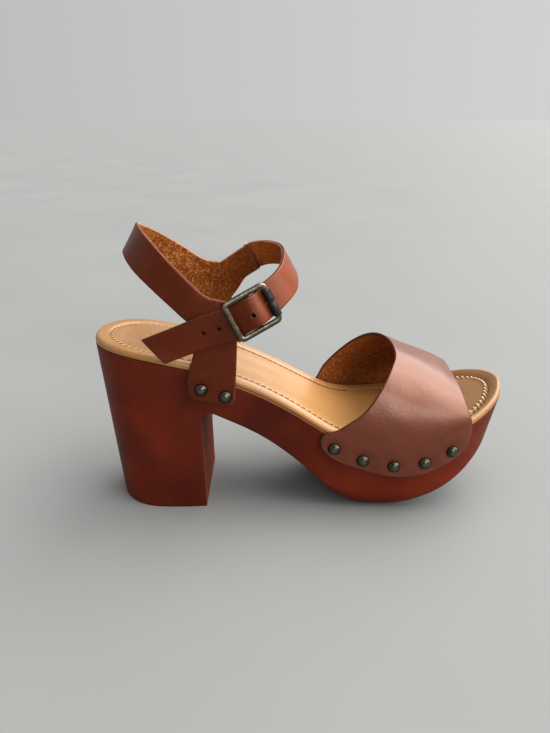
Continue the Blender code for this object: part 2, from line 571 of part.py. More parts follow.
# ------------------------------------------------------------------ nails
def stud(name, p, n, seg=10, rings=3):
    u = unit(np.cross(n, (0.0, 0.0, 1.0)))
    w = np.cross(n, u)
    verts, faces = [p], []
    for i in range(rings):
        a = 0.5 * math.pi * i / rings
        for j in range(seg):
            t = 2 * math.pi * j / seg
            verts.append(p + (u * math.cos(t) + w * math.sin(t)) * STUD_R * math.cos(a) + n * STUD_H * math.sin(a))
    verts.append(p + n * STUD_H)
    top = len(verts) - 1
    for j in range(seg):
        k = (j + 1) % seg
        faces.append((0, 1 + k, 1 + j))
        for i in range(rings - 1):
            a, b = 1 + i * seg, 1 + (i + 1) * seg
            faces.append((a + j, a + k, b + k, b + j))
        a = 1 + (rings - 1) * seg
        faces.append((a + j, a + k, top))
    return make(name, verts, faces)


def vamp_v(x, z, sign):
    """Where on the flank a given height lies."""
    top = z_wood(x) + RIM_H + GAP
    return sign * (1.0 + (top - z) / vamp_flank(x))


def studs():
    for side, sign in (("lateral", -1.0), ("medial", 1.0)):
        for i, (x, z) in enumerate(VAMP_STUDS, 1):
            xa, va = np.array([x]), np.array([vamp_v(x, z, sign)])
            p = vamp_point(xa, va)
            n = surface_normals(vamp_point, xa, va)
            n = n * np.sign(n[:, 1:2] * sign)
            stud("vamp_stud_%s_%d" % (side, i), (p + n * (LEATHER + GAP))[0], n[0])
        for i, (x, z) in enumerate(TAB_STUDS, 1):
            deg = np.linspace(60.0, 120.0, 601)
            d = -sign * deg[np.argmin(np.abs(ankle_point(deg, np.full_like(deg, z))[:, 0] - x))]
            da, za = np.array([d]), np.array([z])
            n = ankle_normal(da, za)
            stud("tab_stud_%s_%d" % (side, i), (ankle_point(da, za) + n * (LEATHER + GAP))[0], n[0])


def main():
    for ob in list(bpy.data.objects):
        bpy.data.objects.remove(ob, do_unlink=True)
    platform()
    footbed()
    vamp()
    ankle_strap()
    instep_strap()
    buckle()
    studs()
    root = bpy.data.objects.new("sandal_right", None)
    bpy.context.scene.collection.objects.link(root)
    for ob in bpy.data.objects:
        if ob.type == "MESH":
            ob.parent = root


main()
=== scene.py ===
"""Looks of the right platform sandal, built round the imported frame. Lengths in the tables are millimetres."""
import math

import bmesh
import bpy
import numpy as np
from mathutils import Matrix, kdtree


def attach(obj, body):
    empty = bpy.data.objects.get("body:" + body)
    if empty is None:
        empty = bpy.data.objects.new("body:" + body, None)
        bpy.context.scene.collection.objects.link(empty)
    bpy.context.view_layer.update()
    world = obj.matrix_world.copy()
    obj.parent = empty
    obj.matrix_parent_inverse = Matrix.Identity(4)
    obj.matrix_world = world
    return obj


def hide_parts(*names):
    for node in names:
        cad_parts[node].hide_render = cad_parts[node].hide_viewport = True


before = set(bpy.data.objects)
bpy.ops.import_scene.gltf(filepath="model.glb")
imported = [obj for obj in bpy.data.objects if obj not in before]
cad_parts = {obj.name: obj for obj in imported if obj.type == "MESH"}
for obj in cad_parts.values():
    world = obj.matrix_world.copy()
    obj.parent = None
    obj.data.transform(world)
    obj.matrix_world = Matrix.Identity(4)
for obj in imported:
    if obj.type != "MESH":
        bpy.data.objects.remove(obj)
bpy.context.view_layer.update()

MM = 0.001
GAP = 0.3
X_SHIFT = -120.5
Y_SHIFT = -5.85
LEATHER = 2.0
BILLET = 1.8
RIM_H = 4.6

# ------------------------------------------------------------------ tables of the frame
PLATFORM_COLS = ("x_t", "lat_t", "med_t", "z_t", "x_b", "lat_b", "med_b", "z_b", "rnd", "scoop")
PLATFORM = (
    (0.0, 0.0, 0.0, 97.0, 9.5, 0.0, 0.0, 0.0, 1.2, 0.0),
    (1.6, 9.5, 9.5, 97.0, 10.9, 8.8, 8.8, 0.0, 1.2, 0.0),
    (6.0, 17.8, 17.8, 96.9, 15.0, 17.0, 17.0, 0.0, 1.2, 0.0),
    (13.0, 24.5, 24.5, 96.3, 21.2, 23.6, 23.6, 0.0, 1.2, 0.0),
    (22.0, 28.8, 28.8, 95.2, 29.0, 27.6, 27.6, 0.0, 1.2, 0.0),
    (34.0, 30.8, 30.8, 93.0, 39.0, 29.0, 29.0, 0.0, 1.2, 0.0),
    (47.0, 31.1, 31.0, 90.2, 50.5, 29.0, 29.2, 0.0, 1.2, 0.0),
    (58.0, 31.0, 30.7, 87.7, 60.5, 28.4, 29.2, 0.0, 1.2, 0.0),
    (60.6, 31.0, 30.6, 87.0, 63.1, 28.0, 29.2, 0.0, 1.0, 0.0),
    (61.6, 31.0, 30.6, 86.7, 62.4, 28.9, 29.4, 30.0, 0.8, 0.9),
    (62.6, 31.0, 30.5, 86.4, 61.7, 29.6, 29.4, 55.0, 0.8, 0.9),
    (63.8, 30.9, 30.5, 86.0, 62.8, 29.7, 29.3, 60.2, 0.8, 0.5),
    (66.2, 30.9, 30.4, 85.2, 67.0, 29.7, 29.2, 61.8, 0.8, 0.0),
    (78.0, 30.4, 29.8, 80.6, 78.0, 29.2, 28.6, 57.0, 0.8, 0.0),
    (95.0, 30.1, 29.6, 73.4, 95.0, 28.8, 28.3, 48.2, 0.8, 0.0),
    (112.0, 30.4, 31.4, 64.0, 112.0, 29.0, 30.0, 35.6, 1.0, 0.0),
    (126.0, 31.5, 34.7, 55.2, 126.0, 29.8, 33.0, 22.8, 1.8, 0.0),
    (134.0, 32.4, 37.3, 50.4, 134.0, 30.4, 35.2, 14.2, 3.0, 0.0),
    (142.0, 33.3, 39.9, 46.7, 142.0, 30.4, 37.0, 7.2, 6.0, 0.0),
    (150.0, 34.0, 42.1, 44.9, 150.0, 30.2, 38.3, 2.2, 9.0, 0.0),
    (157.0, 34.5, 43.7, 44.2, 157.0, 30.2, 39.4, 0.0, 11.0, 0.0),
    (169.0, 35.1, 45.8, 44.2, 169.0, 30.7, 41.4, 0.0, 11.0, 0.0),
    (176.0, 35.2, 46.6, 44.7, 176.0, 31.2, 42.6, 1.2, 10.0, 0.0),
    (184.0, 35.1, 47.0, 45.6, 184.0, 31.8, 43.7, 3.9, 8.0, 0.0),
    (195.0, 34.3, 46.6, 47.6, 194.5, 31.6, 43.9, 9.0, 5.6, 0.0),
    (207.0, 32.2, 45.2, 50.8, 205.5, 29.9, 42.8, 16.2, 3.4, 0.0),
    (216.0, 28.6, 43.2, 53.8, 213.6, 26.4, 40.8, 22.4, 2.6, 0.0),
    (223.0, 24.2, 39.7, 56.8, 219.6, 22.2, 37.4, 27.4, 2.2, 0.0),
    (229.0, 19.0, 34.6, 59.5, 224.6, 17.0, 32.3, 31.6, 2.0, 0.0),
    (235.0, 11.0, 27.4, 62.2, 229.6, 9.4, 25.3, 35.6, 1.8, 0.0),
    (239.0, 1.0, 19.2, 64.0, 233.0, 0.2, 17.7, 38.0, 1.8, 0.0),
    (241.0, -9.0, 9.0, 64.8, 234.8, -9.0, 9.0, 39.0, 1.8, 0.0),
)
ARCH0 = 12
VAMP_COLS = ("x", "arch", "flank")
VAMP = ((125.0, 48.9, 16.2), (140.0, 48.5, 17.2), (152.0, 47.4, 18.4), (165.0, 44.3, 21.6), (180.0, 36.6, 23.4),
        (190.0, 31.3, 22.8), (200.0, 24.6, 20.2), (212.0, 14.2, 17.2), (220.0, 8.0, 16.0))
VAMP_POWER = 2.35
VAMP_EDGE_COLS = ("v", "x_throat", "x_toe")
VAMP_EDGE = (
    (-2.06, 138.0, 206.5), (-2.02, 133.6, 209.8), (-1.92, 131.0, 211.6), (-1.72, 129.8, 213.2), (-1.45, 130.6, 214.2),
    (-1.20, 134.5, 214.0), (-1.00, 139.6, 213.4), (-0.86, 152.2, 212.5), (-0.70, 160.0, 211.0), (-0.43, 168.3, 209.2),
    (-0.16, 172.7, 208.3), (0.05, 172.4, 207.9), (0.20, 168.7, 207.9), (0.45, 158.3, 208.8), (0.70, 146.2, 210.4),
    (1.00, 132.6, 212.8), (1.25, 129.2, 213.5), (1.72, 128.6, 212.8), (1.92, 130.2, 211.2), (2.02, 132.8, 209.4),
    (2.06, 137.4, 206.0))
ANKLE_COLS = ("z", "x_back", "x_front", "half_w", "pinch", "lean")
ANKLE = ((60.0, 7.0, 127.0, 31.9, 0.0, 0.0), (100.0, 7.0, 127.0, 31.9, 0.0, 0.0), (118.0, 7.0, 123.3, 32.2, 0.0, 0.0),
         (126.0, 9.2, 118.9, 31.6, 0.02, -0.1), (140.0, 16.9, 111.2, 30.2, 0.1, -0.6), (150.0, 22.6, 105.7, 29.4, 0.36, -1.2),
         (163.0, 29.7, 98.6, 28.45, 0.7, -2.0), (170.0, 33.9, 94.7, 28.0, 0.7, -2.2))
ANKLE_X = 68.0
ANKLE_POWER = 2.4
STRAP_COLS = ("rear_deg", "rear_z", "front_deg", "front_z")
STRAP = (
    (84.6, 72.4, 97.6, 68.3), (82.3, 75.6, 99.6, 72.0), (82.1, 80.5, 100.0, 79.0), (83.3, 89.7, 100.5, 87.3),
    (85.3, 99.0, 100.9, 97.0), (86.3, 106.4, 101.3, 105.5), (85.9, 111.5, 101.6, 113.5), (84.2, 115.8, 100.2, 120.0),
    (81.2, 119.2, 96.6, 124.5), (76.0, 124.4, 91.2, 128.8), (68.5, 130.2, 85.5, 135.5), (58.0, 136.3, 77.0, 143.2),
    (45.0, 141.5, 65.0, 151.0), (30.0, 145.6, 48.0, 158.2), (15.0, 147.6, 24.0, 162.2), (0.0, 148.0, 0.0, 162.9),
    (-15.0, 147.4, -24.0, 160.0), (-30.0, 145.2, -46.0, 154.1), (-45.0, 141.0, -62.0, 148.2), (-58.0, 135.8, -73.0, 143.3),
    (-68.5, 128.7, -81.0, 138.3), (-76.0, 122.3, -87.0, 135.0), (-81.5, 116.7, -91.5, 134.3), (-84.5, 112.6, -95.0, 128.0),
    (-86.0, 109.2, -96.4, 120.0), (-86.4, 106.0, -96.0, 112.5), (-86.0, 101.5, -96.4, 107.0), (-85.2, 96.5, -97.6, 100.0),
    (-83.3, 89.0, -99.8, 88.0), (-82.1, 80.5, -100.0, 79.0), (-82.3, 75.6, -99.6, 72.0), (-84.6, 72.4, -97.6, 68.3))
ARM_COLS = ("top_deg", "top_z", "low_deg", "low_z")
LATERAL_ARM_ROWS = (6, 9)
LATERAL_ARM = ((98.5, 127.4, 104.0, 114.8), (106.5, 128.6, 109.0, 116.2), (113.0, 130.0, 114.5, 118.0))
MEDIAL_ARM_ROWS = (22, 25)
MEDIAL_ARM = ((-99.5, 139.0, -99.6, 117.6), (-107.0, 142.7, -105.4, 124.8), (-114.5, 145.6, -119.0, 131.7))
INSTEP_COLS = ("low_turn", "low_z", "top_turn", "top_z", "lift")
INSTEP = (
    (108.5, 127.8, 106.5, 141.8, 2.4), (114.0, 130.2, 110.5, 144.4, 2.4), (119.5, 131.9, 114.5, 145.8, 2.4),
    (127.0, 133.6, 122.0, 147.0, 2.2), (142.5, 135.2, 138.0, 148.4, 0.9), (160.0, 135.4, 155.0, 148.7, 0.4),
    (177.0, 134.6, 171.0, 148.4, 0.4), (191.5, 131.9, 186.0, 147.3, 0.4), (202.5, 128.7, 197.5, 145.2, 0.4),
    (213.5, 126.2, 209.0, 142.6, 0.5), (221.5, 124.0, 223.0, 139.2, 0.7), (233.6, 119.8, 237.2, 135.2, 1.0),
    (239.8, 118.0, 243.4, 132.1, 3.5), (246.0, 115.4, 249.4, 129.9, 5.6), (252.2, 112.1, 255.9, 127.3, 3.9),
    (257.4, 107.9, 260.6, 125.2, 2.5), (267.0, 104.5, 270.2, 121.2, 2.4), (274.3, 100.6, 279.1, 116.2, 2.7),
    (280.5, 97.7, 289.2, 111.4, 3.4), (287.4, 94.6, 299.0, 107.2, 4.9))
RIGHT_BAR_ROW, MID_BAR_ROW, LEFT_BAR_ROW = 11, 13, 15
BAR_R = 1.35
MID_R = 1.0
ROLLER_R = 2.25
BUCKLE_HALF_H = 10.45
BUCKLE_CORNER = 2.0
BUCKLE_TURN = -6.0
ROLLER_FROM, ROLLER_TO = 0.4, 8.1
BUCKLE_GAP = 0.7
STUD_R, STUD_H = 3.6, 2.3
VAMP_STUDS = ((137.6, 42.3), (153.9, 35.4), (171.5, 32.0), (188.8, 34.0), (204.0, 40.6))
TAB_STUDS = ((63.4, 78.2), (76.4, 73.9))

# ------------------------------------------------------------------ tables of the looks
# Stitch line on the footbed: how far in from the edge on either side, and how deep the toe's panel lies (0 level, 1 sunk).
WELT_COLS = ("x", "lat_in", "med_in", "sunk")
WELT = ((0.0, 8.6, 8.6, 0.0), (15.0, 7.3, 7.8, 0.0), (35.0, 6.2, 7.6, 0.0), (90.0, 6.0, 8.6, 0.0), (140.0, 6.2, 8.6, 0.05),
        (190.0, 6.6, 7.8, 0.45), (214.0, 7.3, 7.2, 1.0), (241.0, 7.2, 7.2, 1.0))
STITCH_STEP, STITCH_LEN, STITCH_R = 3.7, 2.5, 0.40
# Holes of the strap through the buckle: row of the strap table, how far across.
HOLE_R = 1.15
HOLES = ((13.12, 0.40), (15.70, 0.52), (16.26, 0.48))


# ------------------------------------------------------------------ helpers
def mono(xs, ys, flat_ends=False):
    xs, ys = np.asarray(xs, float), np.asarray(ys, float)
    h = np.diff(xs)
    d = np.diff(ys) / h
    m = np.zeros(len(xs))
    for i in range(1, len(xs) - 1):
        if d[i - 1] * d[i] > 0:
            w1, w2 = 2 * h[i] + h[i - 1], h[i] + 2 * h[i - 1]
            m[i] = (w1 + w2) / (w1 / d[i - 1] + w2 / d[i])
    if not flat_ends:
        m[0], m[-1] = d[0], d[-1]

    def f(x):
        x = np.clip(np.asarray(x, float), xs[0], xs[-1])
        i = np.clip(np.searchsorted(xs, x, side="right") - 1, 0, len(xs) - 2)
        t = (x - xs[i]) / h[i]
        return ((2 * t ** 3 - 3 * t ** 2 + 1) * ys[i] + (t ** 3 - 2 * t ** 2 + t) * h[i] * m[i]
                + (3 * t ** 2 - 2 * t ** 3) * ys[i + 1] + (t ** 3 - t ** 2) * h[i] * m[i + 1])
    return f


def columns(table, cols):
    a = np.asarray(table, float)
    return {c: a[:, i] for i, c in enumerate(cols)}


def refine(table, cols, k, flat=()):
    a = columns(table, cols)
    rows = np.arange(len(table))
    t = np.linspace(0, len(table) - 1, (len(table) - 1) * k + 1)
    return {c: mono(rows, a[c], c in flat)(t) for c in cols}


def unit(v):
    v = np.asarray(v, float)
    return v / np.maximum(np.linalg.norm(v, axis=-1, keepdims=True), 1e-12)


def even(a, passes, pin, mirrored=False):
    """Running average along the rows, pinned where the shape has a true corner.

    A mirrored column goes on past its ends as it came, so a round end stays round.
    """
    a = a.copy()
    for _ in range(passes):
        b = a.copy()
        b[1:-1] = 0.25 * a[:-2] + 0.5 * a[1:-1] + 0.25 * a[2:]
        if mirrored:
            b[0], b[-1] = 0.5 * (a[0] + a[1]), 0.5 * (a[-1] + a[-2])
        a = np.where(pin, a, b)
    return a


def wave(p, size, seed):
    """Slow unevenness, about -1 to 1, of a given feature size in mm."""
    rng = np.random.default_rng(seed)
    s = np.zeros(len(p))
    for _ in range(5):
        k = unit(rng.normal(size=3)) * (2 * math.pi / size) * rng.uniform(0.7, 1.5)
        s = s + np.sin(p @ k + rng.uniform(0, 6.28))
    return s / 3.0


def mesh_object(name, verts, faces, mats, face_mat=None, attrs=None, sharp=None, weld=False):
    """A closed mesh in the row frame from millimetre points."""
    v = (np.asarray(verts, float) + np.array([X_SHIFT, Y_SHIFT, 0.0])) * MM
    me = bpy.data.meshes.new(name)
    me.from_pydata(v.tolist(), [], [[int(i) for i in f] for f in faces])
    for m in mats:
        me.materials.append(m)
    if face_mat is not None:
        me.polygons.foreach_set("material_index", np.asarray(face_mat, np.int32))
    for key, val in (attrs or {}).items():
        at = me.attributes.new(key, "FLOAT", "POINT")
        at.data.foreach_set("value", np.asarray(val, np.float32))
    bm = bmesh.new()
    bm.from_mesh(me)
    if weld:
        bmesh.ops.remove_doubles(bm, verts=bm.verts, dist=2e-6)
        bmesh.ops.dissolve_degenerate(bm, edges=bm.edges, dist=1e-6)
    bmesh.ops.recalc_face_normals(bm, faces=bm.faces)
    if bm.calc_volume(signed=True) < 0:
        bmesh.ops.reverse_faces(bm, faces=bm.faces)
    bm.to_mesh(me)
    bm.free()
    me.shade_smooth()
    if sharp:
        me.set_sharp_from_angle(angle=math.radians(sharp))
    ob = bpy.data.objects.new(name, me)
    bpy.context.scene.collection.objects.link(ob)
    return ob


def place(ob, slot, *nodes):
    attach(ob, "root")
    if nodes:
        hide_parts(*nodes)
    return ob


# ------------------------------------------------------------------ materials
class Shade:
    """Short hand for a node material on one Principled shader."""

    def __init__(self, name, **fixed):
        self.mat = bpy.data.materials.new(name)
        self.mat.use_nodes = True
        self.nt = self.mat.node_tree
        self.bsdf = self.nt.nodes["Principled BSDF"]
        for key, val in fixed.items():
            self.bsdf.inputs[key.replace("_", " ")].default_value = val
        self.pos = self.nt.nodes.new("ShaderNodeTexCoord").outputs["Object"]

    def node(self, kind, sockets=None, **props):
        n = self.nt.nodes.new(kind)
        for key, val in props.items():
            setattr(n, key, val)
        for key, val in (sockets or {}).items():
            s = n.inputs[key]
            if isinstance(val, bpy.types.NodeSocket):
                self.nt.links.new(val, s)
            else:
                s.default_value = val
        return n

    def stretch(self, scale):
        return self.node("ShaderNodeMapping", {"Vector": self.pos, "Scale": scale}).outputs[0]

    def noise(self, scale, detail=3.0, rough=0.55, warp=0.0, vec=None):
        n = self.node("ShaderNodeTexNoise", {"Vector": vec or self.pos, "Scale": scale, "Detail": detail,
                                             "Roughness": rough, "Distortion": warp})
        return n.outputs["Fac"]

    def cells(self, scale, feature="F1", vec=None, smooth=None):
        sockets = {"Vector": vec or self.pos, "Scale": scale}
        if smooth is not None:
            sockets["Smoothness"] = smooth
        return self.node("ShaderNodeTexVoronoi", sockets, feature=feature).outputs["Distance"]

    def attr(self, name):
        return self.node("ShaderNodeAttribute", attribute_name=name).outputs["Fac"]

    def remap(self, val, a, b, c=0.0, d=1.0):
        return self.node("ShaderNodeMapRange", {"Value": val, "From Min": a, "From Max": b, "To Min": c, "To Max": d}).outputs[0]

    def math(self, op, a, b=0.0, clamp=False):
        n = self.node("ShaderNodeMath", {0: a, 1: b}, operation=op)
        n.use_clamp = clamp
        return n.outputs[0]

    def mix(self, fac, a, b):
        n = self.node("ShaderNodeMix", data_type="RGBA")
        for key, val in (("Factor", fac), ("A", a), ("B", b)):
            s = [i for i in n.inputs if i.name == key and (i.type == "RGBA" or key == "Factor" and i.type == "VALUE")][0]
            if isinstance(val, bpy.types.NodeSocket):
                self.nt.links.new(val, s)
            else:
                s.default_value = val if key == "Factor" else tuple(val) + (1.0,)
        return [o for o in n.outputs if o.type == "RGBA"][0]

    def bump(self, height, distance, strength=1.0, under=None):
        sockets = {"Height": height, "Distance": distance, "Strength": strength}
        if under is not None:
            sockets["Normal"] = under
        return self.node("ShaderNodeBump", sockets).outputs[0]

    def set(self, **links):
        for key, val in links.items():
            self.nt.links.new(val, self.bsdf.inputs[key.replace("_", " ")])
        return self.mat


def leather(name, dark, mid, light, spec, coat, rough, tint, grain=0.00010):
    """Smooth waxed leather: slow mottling, fine pebbled grain, darker near cut edges, and a painted highlight, paler,
    where the surface turns toward the light on the +X side.
    """
    s = Shade(name, Specular_IOR_Level=spec, Coat_Weight=coat, Coat_Roughness=0.25)
    s.bsdf.inputs["Specular Tint"].default_value = (*tint, 1.0)
    big = s.noise(55.0, 4.0, 0.6)
    fine = s.noise(420.0, 3.0, 0.6)
    col = s.mix(s.remap(big, 0.22, 0.60, 0.45, 1.0), dark, mid)
    col = s.mix(s.remap(fine, 0.52, 0.85, 0.0, 0.40), col, light)
    near = s.remap(s.attr("rim"), 0.0, 1.3, 0.5, 0.0)
    col = s.mix(s.math("MULTIPLY", near, s.remap(s.noise(260.0, 2.0), 0.3, 0.6)), col, dark)
    # painted highlight: paler where the strap's surface faces +X, toward the light
    col = s.mix(s.math("MULTIPLY", s.attr("painted_light_side"), s.remap(big, 0.25, 0.6, 0.7, 1.0)), col, (0.168, 0.041, 0.0155))
    pebble = s.cells(1150.0, "SMOOTH_F1", smooth=0.6)
    pores = s.noise(2400.0, 2.0, 0.5)
    n = s.bump(pebble, grain, 0.7)
    n = s.bump(pores, grain * 0.5, 0.5, n)
    n = s.bump(s.noise(160.0, 2.0), 0.0003, 0.25, n)
    r = s.remap(s.math("ADD", big, s.math("MULTIPLY", fine, 0.6)), 0.5, 1.1, rough[0], rough[1])
    return s.set(Base_Color=col, Roughness=r, Normal=n)


def suede(name, dark, mid, light, fibre=430.0, flat=None):
    """Napped flesh side: short fibres lying every way, darker toward the front if asked."""
    s = Shade(name, Specular_IOR_Level=0.2, Sheen_Weight=0.35, Sheen_Roughness=0.5)
    s.bsdf.inputs["Sheen Tint"].default_value = tuple(light) + (1.0,)
    hair = s.noise(fibre, 4.0, 0.75, 0.5)
    speck = s.noise(fibre * 2.3, 2.0, 0.6, 1.0)
    slow = s.noise(90.0, 2.0)
    col = s.mix(s.remap(hair, 0.36, 0.58), dark, mid)
    col = s.mix(s.remap(s.math("ADD", hair, s.math("MULTIPLY", speck, 0.6)), 0.80, 1.00, 0.0, 0.95), col, light)
    col = s.mix(s.remap(slow, 0.40, 0.75, 0.0, 0.3), col, dark)
    # darker and less speckled toward the front, over the given X range
    if flat:
        x = s.node("ShaderNodeSeparateXYZ", {0: s.pos}).outputs["X"]
        col = s.mix(s.remap(x, flat[0], flat[1], 0.0, 0.75), col, flat[2])
    n = s.bump(hair, 0.0012, 0.9)
    n = s.bump(speck, 0.0005, 0.8, n)
    return s.set(Base_Color=col, Roughness=s.remap(speck, 0.3, 0.7, 0.8, 0.97), Normal=n)


def cut_edge(name, dark, light):
    s = Shade(name, Specular_IOR_Level=0.2)
    f = s.noise(900.0, 3.0, 0.65)
    col = s.mix(s.remap(f, 0.3, 0.7), dark, light)
    return s.set(Base_Color=col, Roughness=s.remap(f, 0.3, 0.7, 0.55, 0.75), Normal=s.bump(f, 0.0002, 0.6))


def wood():
    """Stained satin wood: long faint grain, cloudy stain, a painted highlight along the upper edge, a dull heel front
    painted warmer as if lit, and painted shade as a dark band at the very bottom edge.
    """
    s = Shade("stained_wood", Specular_IOR_Level=0.28, Coat_Weight=0.04, Coat_Roughness=0.3)
    s.bsdf.inputs["Specular Tint"].default_value = (1.0, 0.78, 0.68, 1.0)
    along = s.stretch((0.16, 1.0, 1.0))
    streak = s.noise(330.0, 4.0, 0.6, 0.6, along)
    band = s.noise(75.0, 3.0, 0.55, 1.2, s.stretch((0.3, 1.0, 1.0)))
    cloud = s.noise(19.0, 3.0, 0.55)
    col = s.mix(s.remap(cloud, 0.36, 0.66), (0.053, 0.0057, 0.0016), (0.124, 0.0154, 0.0032))
    col = s.mix(s.remap(band, 0.35, 0.7, 0.0, 0.30), col, (0.056, 0.0066, 0.0018))
    col = s.mix(s.remap(streak, 0.5, 0.75, 0.0, 0.30), col, (0.050, 0.0062, 0.0018))
    # painted highlight: paler along the top edge, where the bevel would catch the light
    col = s.mix(s.remap(s.attr("top"), 0.6, 1.3, 0.75, 0.0), col, (0.25, 0.088, 0.042))
    # painted light: the heel front facing +X is painted paler and warmer, as if lit; the same mask also makes it duller
    cut = s.attr("cut")
    col = s.mix(s.math("MULTIPLY", cut, 0.6), col, (0.150, 0.030, 0.0085))
    # painted shade: a dark band along the lowest millimetre of the sides, next to the floor
    edge = s.remap(s.attr("bottom_shade_dist"), 0.75, 1.05, 1.0, 0.0)
    col = s.mix(edge, col, (0.018, 0.012, 0.010))
    r = s.remap(s.math("ADD", cloud, s.math("MULTIPLY", streak, 0.5)), 0.5, 1.0, 0.44, 0.58)
    r = s.math("ADD", r, s.math("MULTIPLY", s.math("ADD", edge, cut), 0.4), clamp=True)
    n = s.bump(streak, 0.00012, 0.35)
    n = s.bump(s.noise(1500.0, 2.0), 0.00004, 0.4, n)
    return s.set(Base_Color=col, Roughness=r, Normal=n)


def tan_leather():
    """Insole cover: smooth tan leather, painted paler before the vamp as if lit, and painted shade browner in the
    stitch groove, on the toe panel, at the heel and at the toe.
    """
    s = Shade("insole_leather", Specular_IOR_Level=0.5, Coat_Weight=0.22, Coat_Roughness=0.24)
    cloud = s.noise(38.0, 3.0, 0.55)
    fine = s.noise(520.0, 3.0, 0.6)
    col = s.mix(s.remap(cloud, 0.3, 0.7), (0.258, 0.127, 0.041), (0.310, 0.168, 0.063))
    col = s.mix(s.remap(fine, 0.5, 0.85, 0.0, 0.25), col, (0.23, 0.112, 0.039))
    x = s.node("ShaderNodeSeparateXYZ", {0: s.pos}).outputs["X"]
    # painted light: paler on the forefoot before the vamp
    pale = s.math("MINIMUM", s.remap(x, -0.025, 0.005, 0.0, 0.6), s.remap(x, 0.045, 0.080, 0.6, 0.0))
    col = s.mix(pale, col, (0.43, 0.22, 0.08))
    # painted shade: browner at the heel and, on the next line, at the toe
    col = s.mix(s.remap(x, -0.110, -0.060, 0.3, 0.0), col, (0.165, 0.078, 0.016))
    col = s.mix(s.remap(x, 0.070, 0.095, 0.0, 0.22), col, (0.165, 0.055, 0.004))
    # painted shade in the stitch groove and on the sunk toe panel
    col = s.mix(s.remap(s.attr("groove"), 0.1, 1.0, 0.0, 0.75), col, (0.095, 0.038, 0.012))
    col = s.mix(s.remap(s.attr("seam"), 0.0, 0.9, 0.45, 0.0), col, (0.14, 0.058, 0.020))
    n = s.bump(s.cells(1500.0, "SMOOTH_F1", smooth=0.7), 0.00005, 0.5)
    n = s.bump(s.noise(120.0, 2.0), 0.0007, 0.2, n)
    r = s.remap(s.math("ADD", cloud, fine), 0.7, 1.3, 0.34, 0.48)
    return s.set(Base_Color=col, Roughness=r, Normal=n)


def metal(name, base, dull, bright, rough):
    """Aged metal: patina in patches, brighter where it is rubbed and, on the buckle's corners, a painted highlight."""
    s = Shade(name, Metallic=1.0)
    patch = s.noise(420.0, 4.0, 0.65)
    col = s.mix(s.remap(patch, 0.35, 0.65), dull, base)
    col = s.mix(s.remap(s.attr("wear_and_highlight"), 0.3, 1.0, 0.0, 0.85), col, bright)
    scratch = s.noise(1600.0, 2.0, 0.6)
    r = s.remap(patch, 0.3, 0.7, rough[1], rough[0])
    return s.set(Base_Color=col, Roughness=r, Normal=s.bump(scratch, 0.00003, 0.5))


def thread(name, dark, light):
    s = Shade(name, Specular_IOR_Level=0.3, Sheen_Weight=0.2)
    ply = s.noise(1800.0, 2.0, 0.6)
    col = s.mix(s.remap(ply, 0.3, 0.7), dark, light)
    return s.set(Base_Color=col, Roughness=s.remap(ply, 0.3, 0.7, 0.6, 0.8), Normal=s.bump(ply, 0.0001, 0.6))


UPPER = leather("upper_leather", (0.048, 0.0058, 0.0010), (0.084, 0.0117, 0.0022), (0.126, 0.0236, 0.0064), 1.0, 0.22, (0.34, 0.48), (1.0, 0.68, 0.53))
STRAPS = leather("strap_leather", (0.039, 0.0052, 0.0008), (0.071, 0.0106, 0.0016), (0.107, 0.0212, 0.0050), 0.38, 0.07, (0.31, 0.45), (1.0, 0.70, 0.56))
NAP = suede("strap_nap", (0.115, 0.029, 0.0045), (0.270, 0.082, 0.0140), (0.58, 0.28, 0.092), 640.0,
            ((55.0 + X_SHIFT) * MM, (80.0 + X_SHIFT) * MM, (0.100, 0.021, 0.0020)))
LINING = suede("vamp_nap", (0.17, 0.052, 0.0105), (0.30, 0.102, 0.023), (0.46, 0.19, 0.058), 620.0)
BILLET_BACK = suede("billet_back", (0.20, 0.052, 0.009), (0.33, 0.105, 0.022), (0.44, 0.17, 0.05), 700.0)
PALE_EDGE = cut_edge("pale_edge", (0.22, 0.098, 0.058), (0.37, 0.21, 0.14))
BROWN_EDGE = cut_edge("brown_edge", (0.085, 0.024, 0.011), (0.17, 0.060, 0.032))
VAMP_EDGE_CUT = cut_edge("vamp_edge", (0.040, 0.010, 0.0045), (0.088, 0.026, 0.013))
DARK_EDGE = cut_edge("dark_edge", (0.034, 0.012, 0.008), (0.090, 0.030, 0.019))
WOOD = wood()
INSOLE = tan_leather()
BRASS = metal("antique_brass", (0.120, 0.107, 0.078), (0.048, 0.044, 0.034), (0.40, 0.365, 0.28), (0.24, 0.40))
ROLLER = metal("dark_roller", (0.055, 0.052, 0.048), (0.030, 0.029, 0.028), (0.20, 0.19, 0.17), (0.34, 0.5))
GUNMETAL = metal("gunmetal", (0.088, 0.082, 0.066), (0.040, 0.038, 0.033), (0.30, 0.28, 0.23), (0.21, 0.33))
THREAD = thread("insole_thread", (0.34, 0.20, 0.085), (0.52, 0.36, 0.19))
# the same thread as above, painted dark at the waist as shade in the groove
WAIST_THREAD_SHADED = thread("waist_thread_painted_shade", (0.085, 0.042, 0.016), (0.17, 0.095, 0.040))
# the same thread, painted paler at the toe as if lit
TOE_THREAD_LIT = thread("toe_thread_painted_light", (0.40, 0.265, 0.13), (0.58, 0.42, 0.235))
SEAM_THREAD = thread("seam_thread", (0.32, 0.175, 0.095), (0.54, 0.36, 0.235))


# ------------------------------------------------------------------ sole
P = columns(PLATFORM, PLATFORM_COLS)
lat = mono(P["x_t"], P["lat_t"])
med = mono(P["x_t"], P["med_t"])
z_wood = mono(P["x_t"], P["z_t"])
z_under = mono(P["x_b"][ARCH0:], P["z_b"][ARCH0:])
KS = 8                                             # fine rows per table row


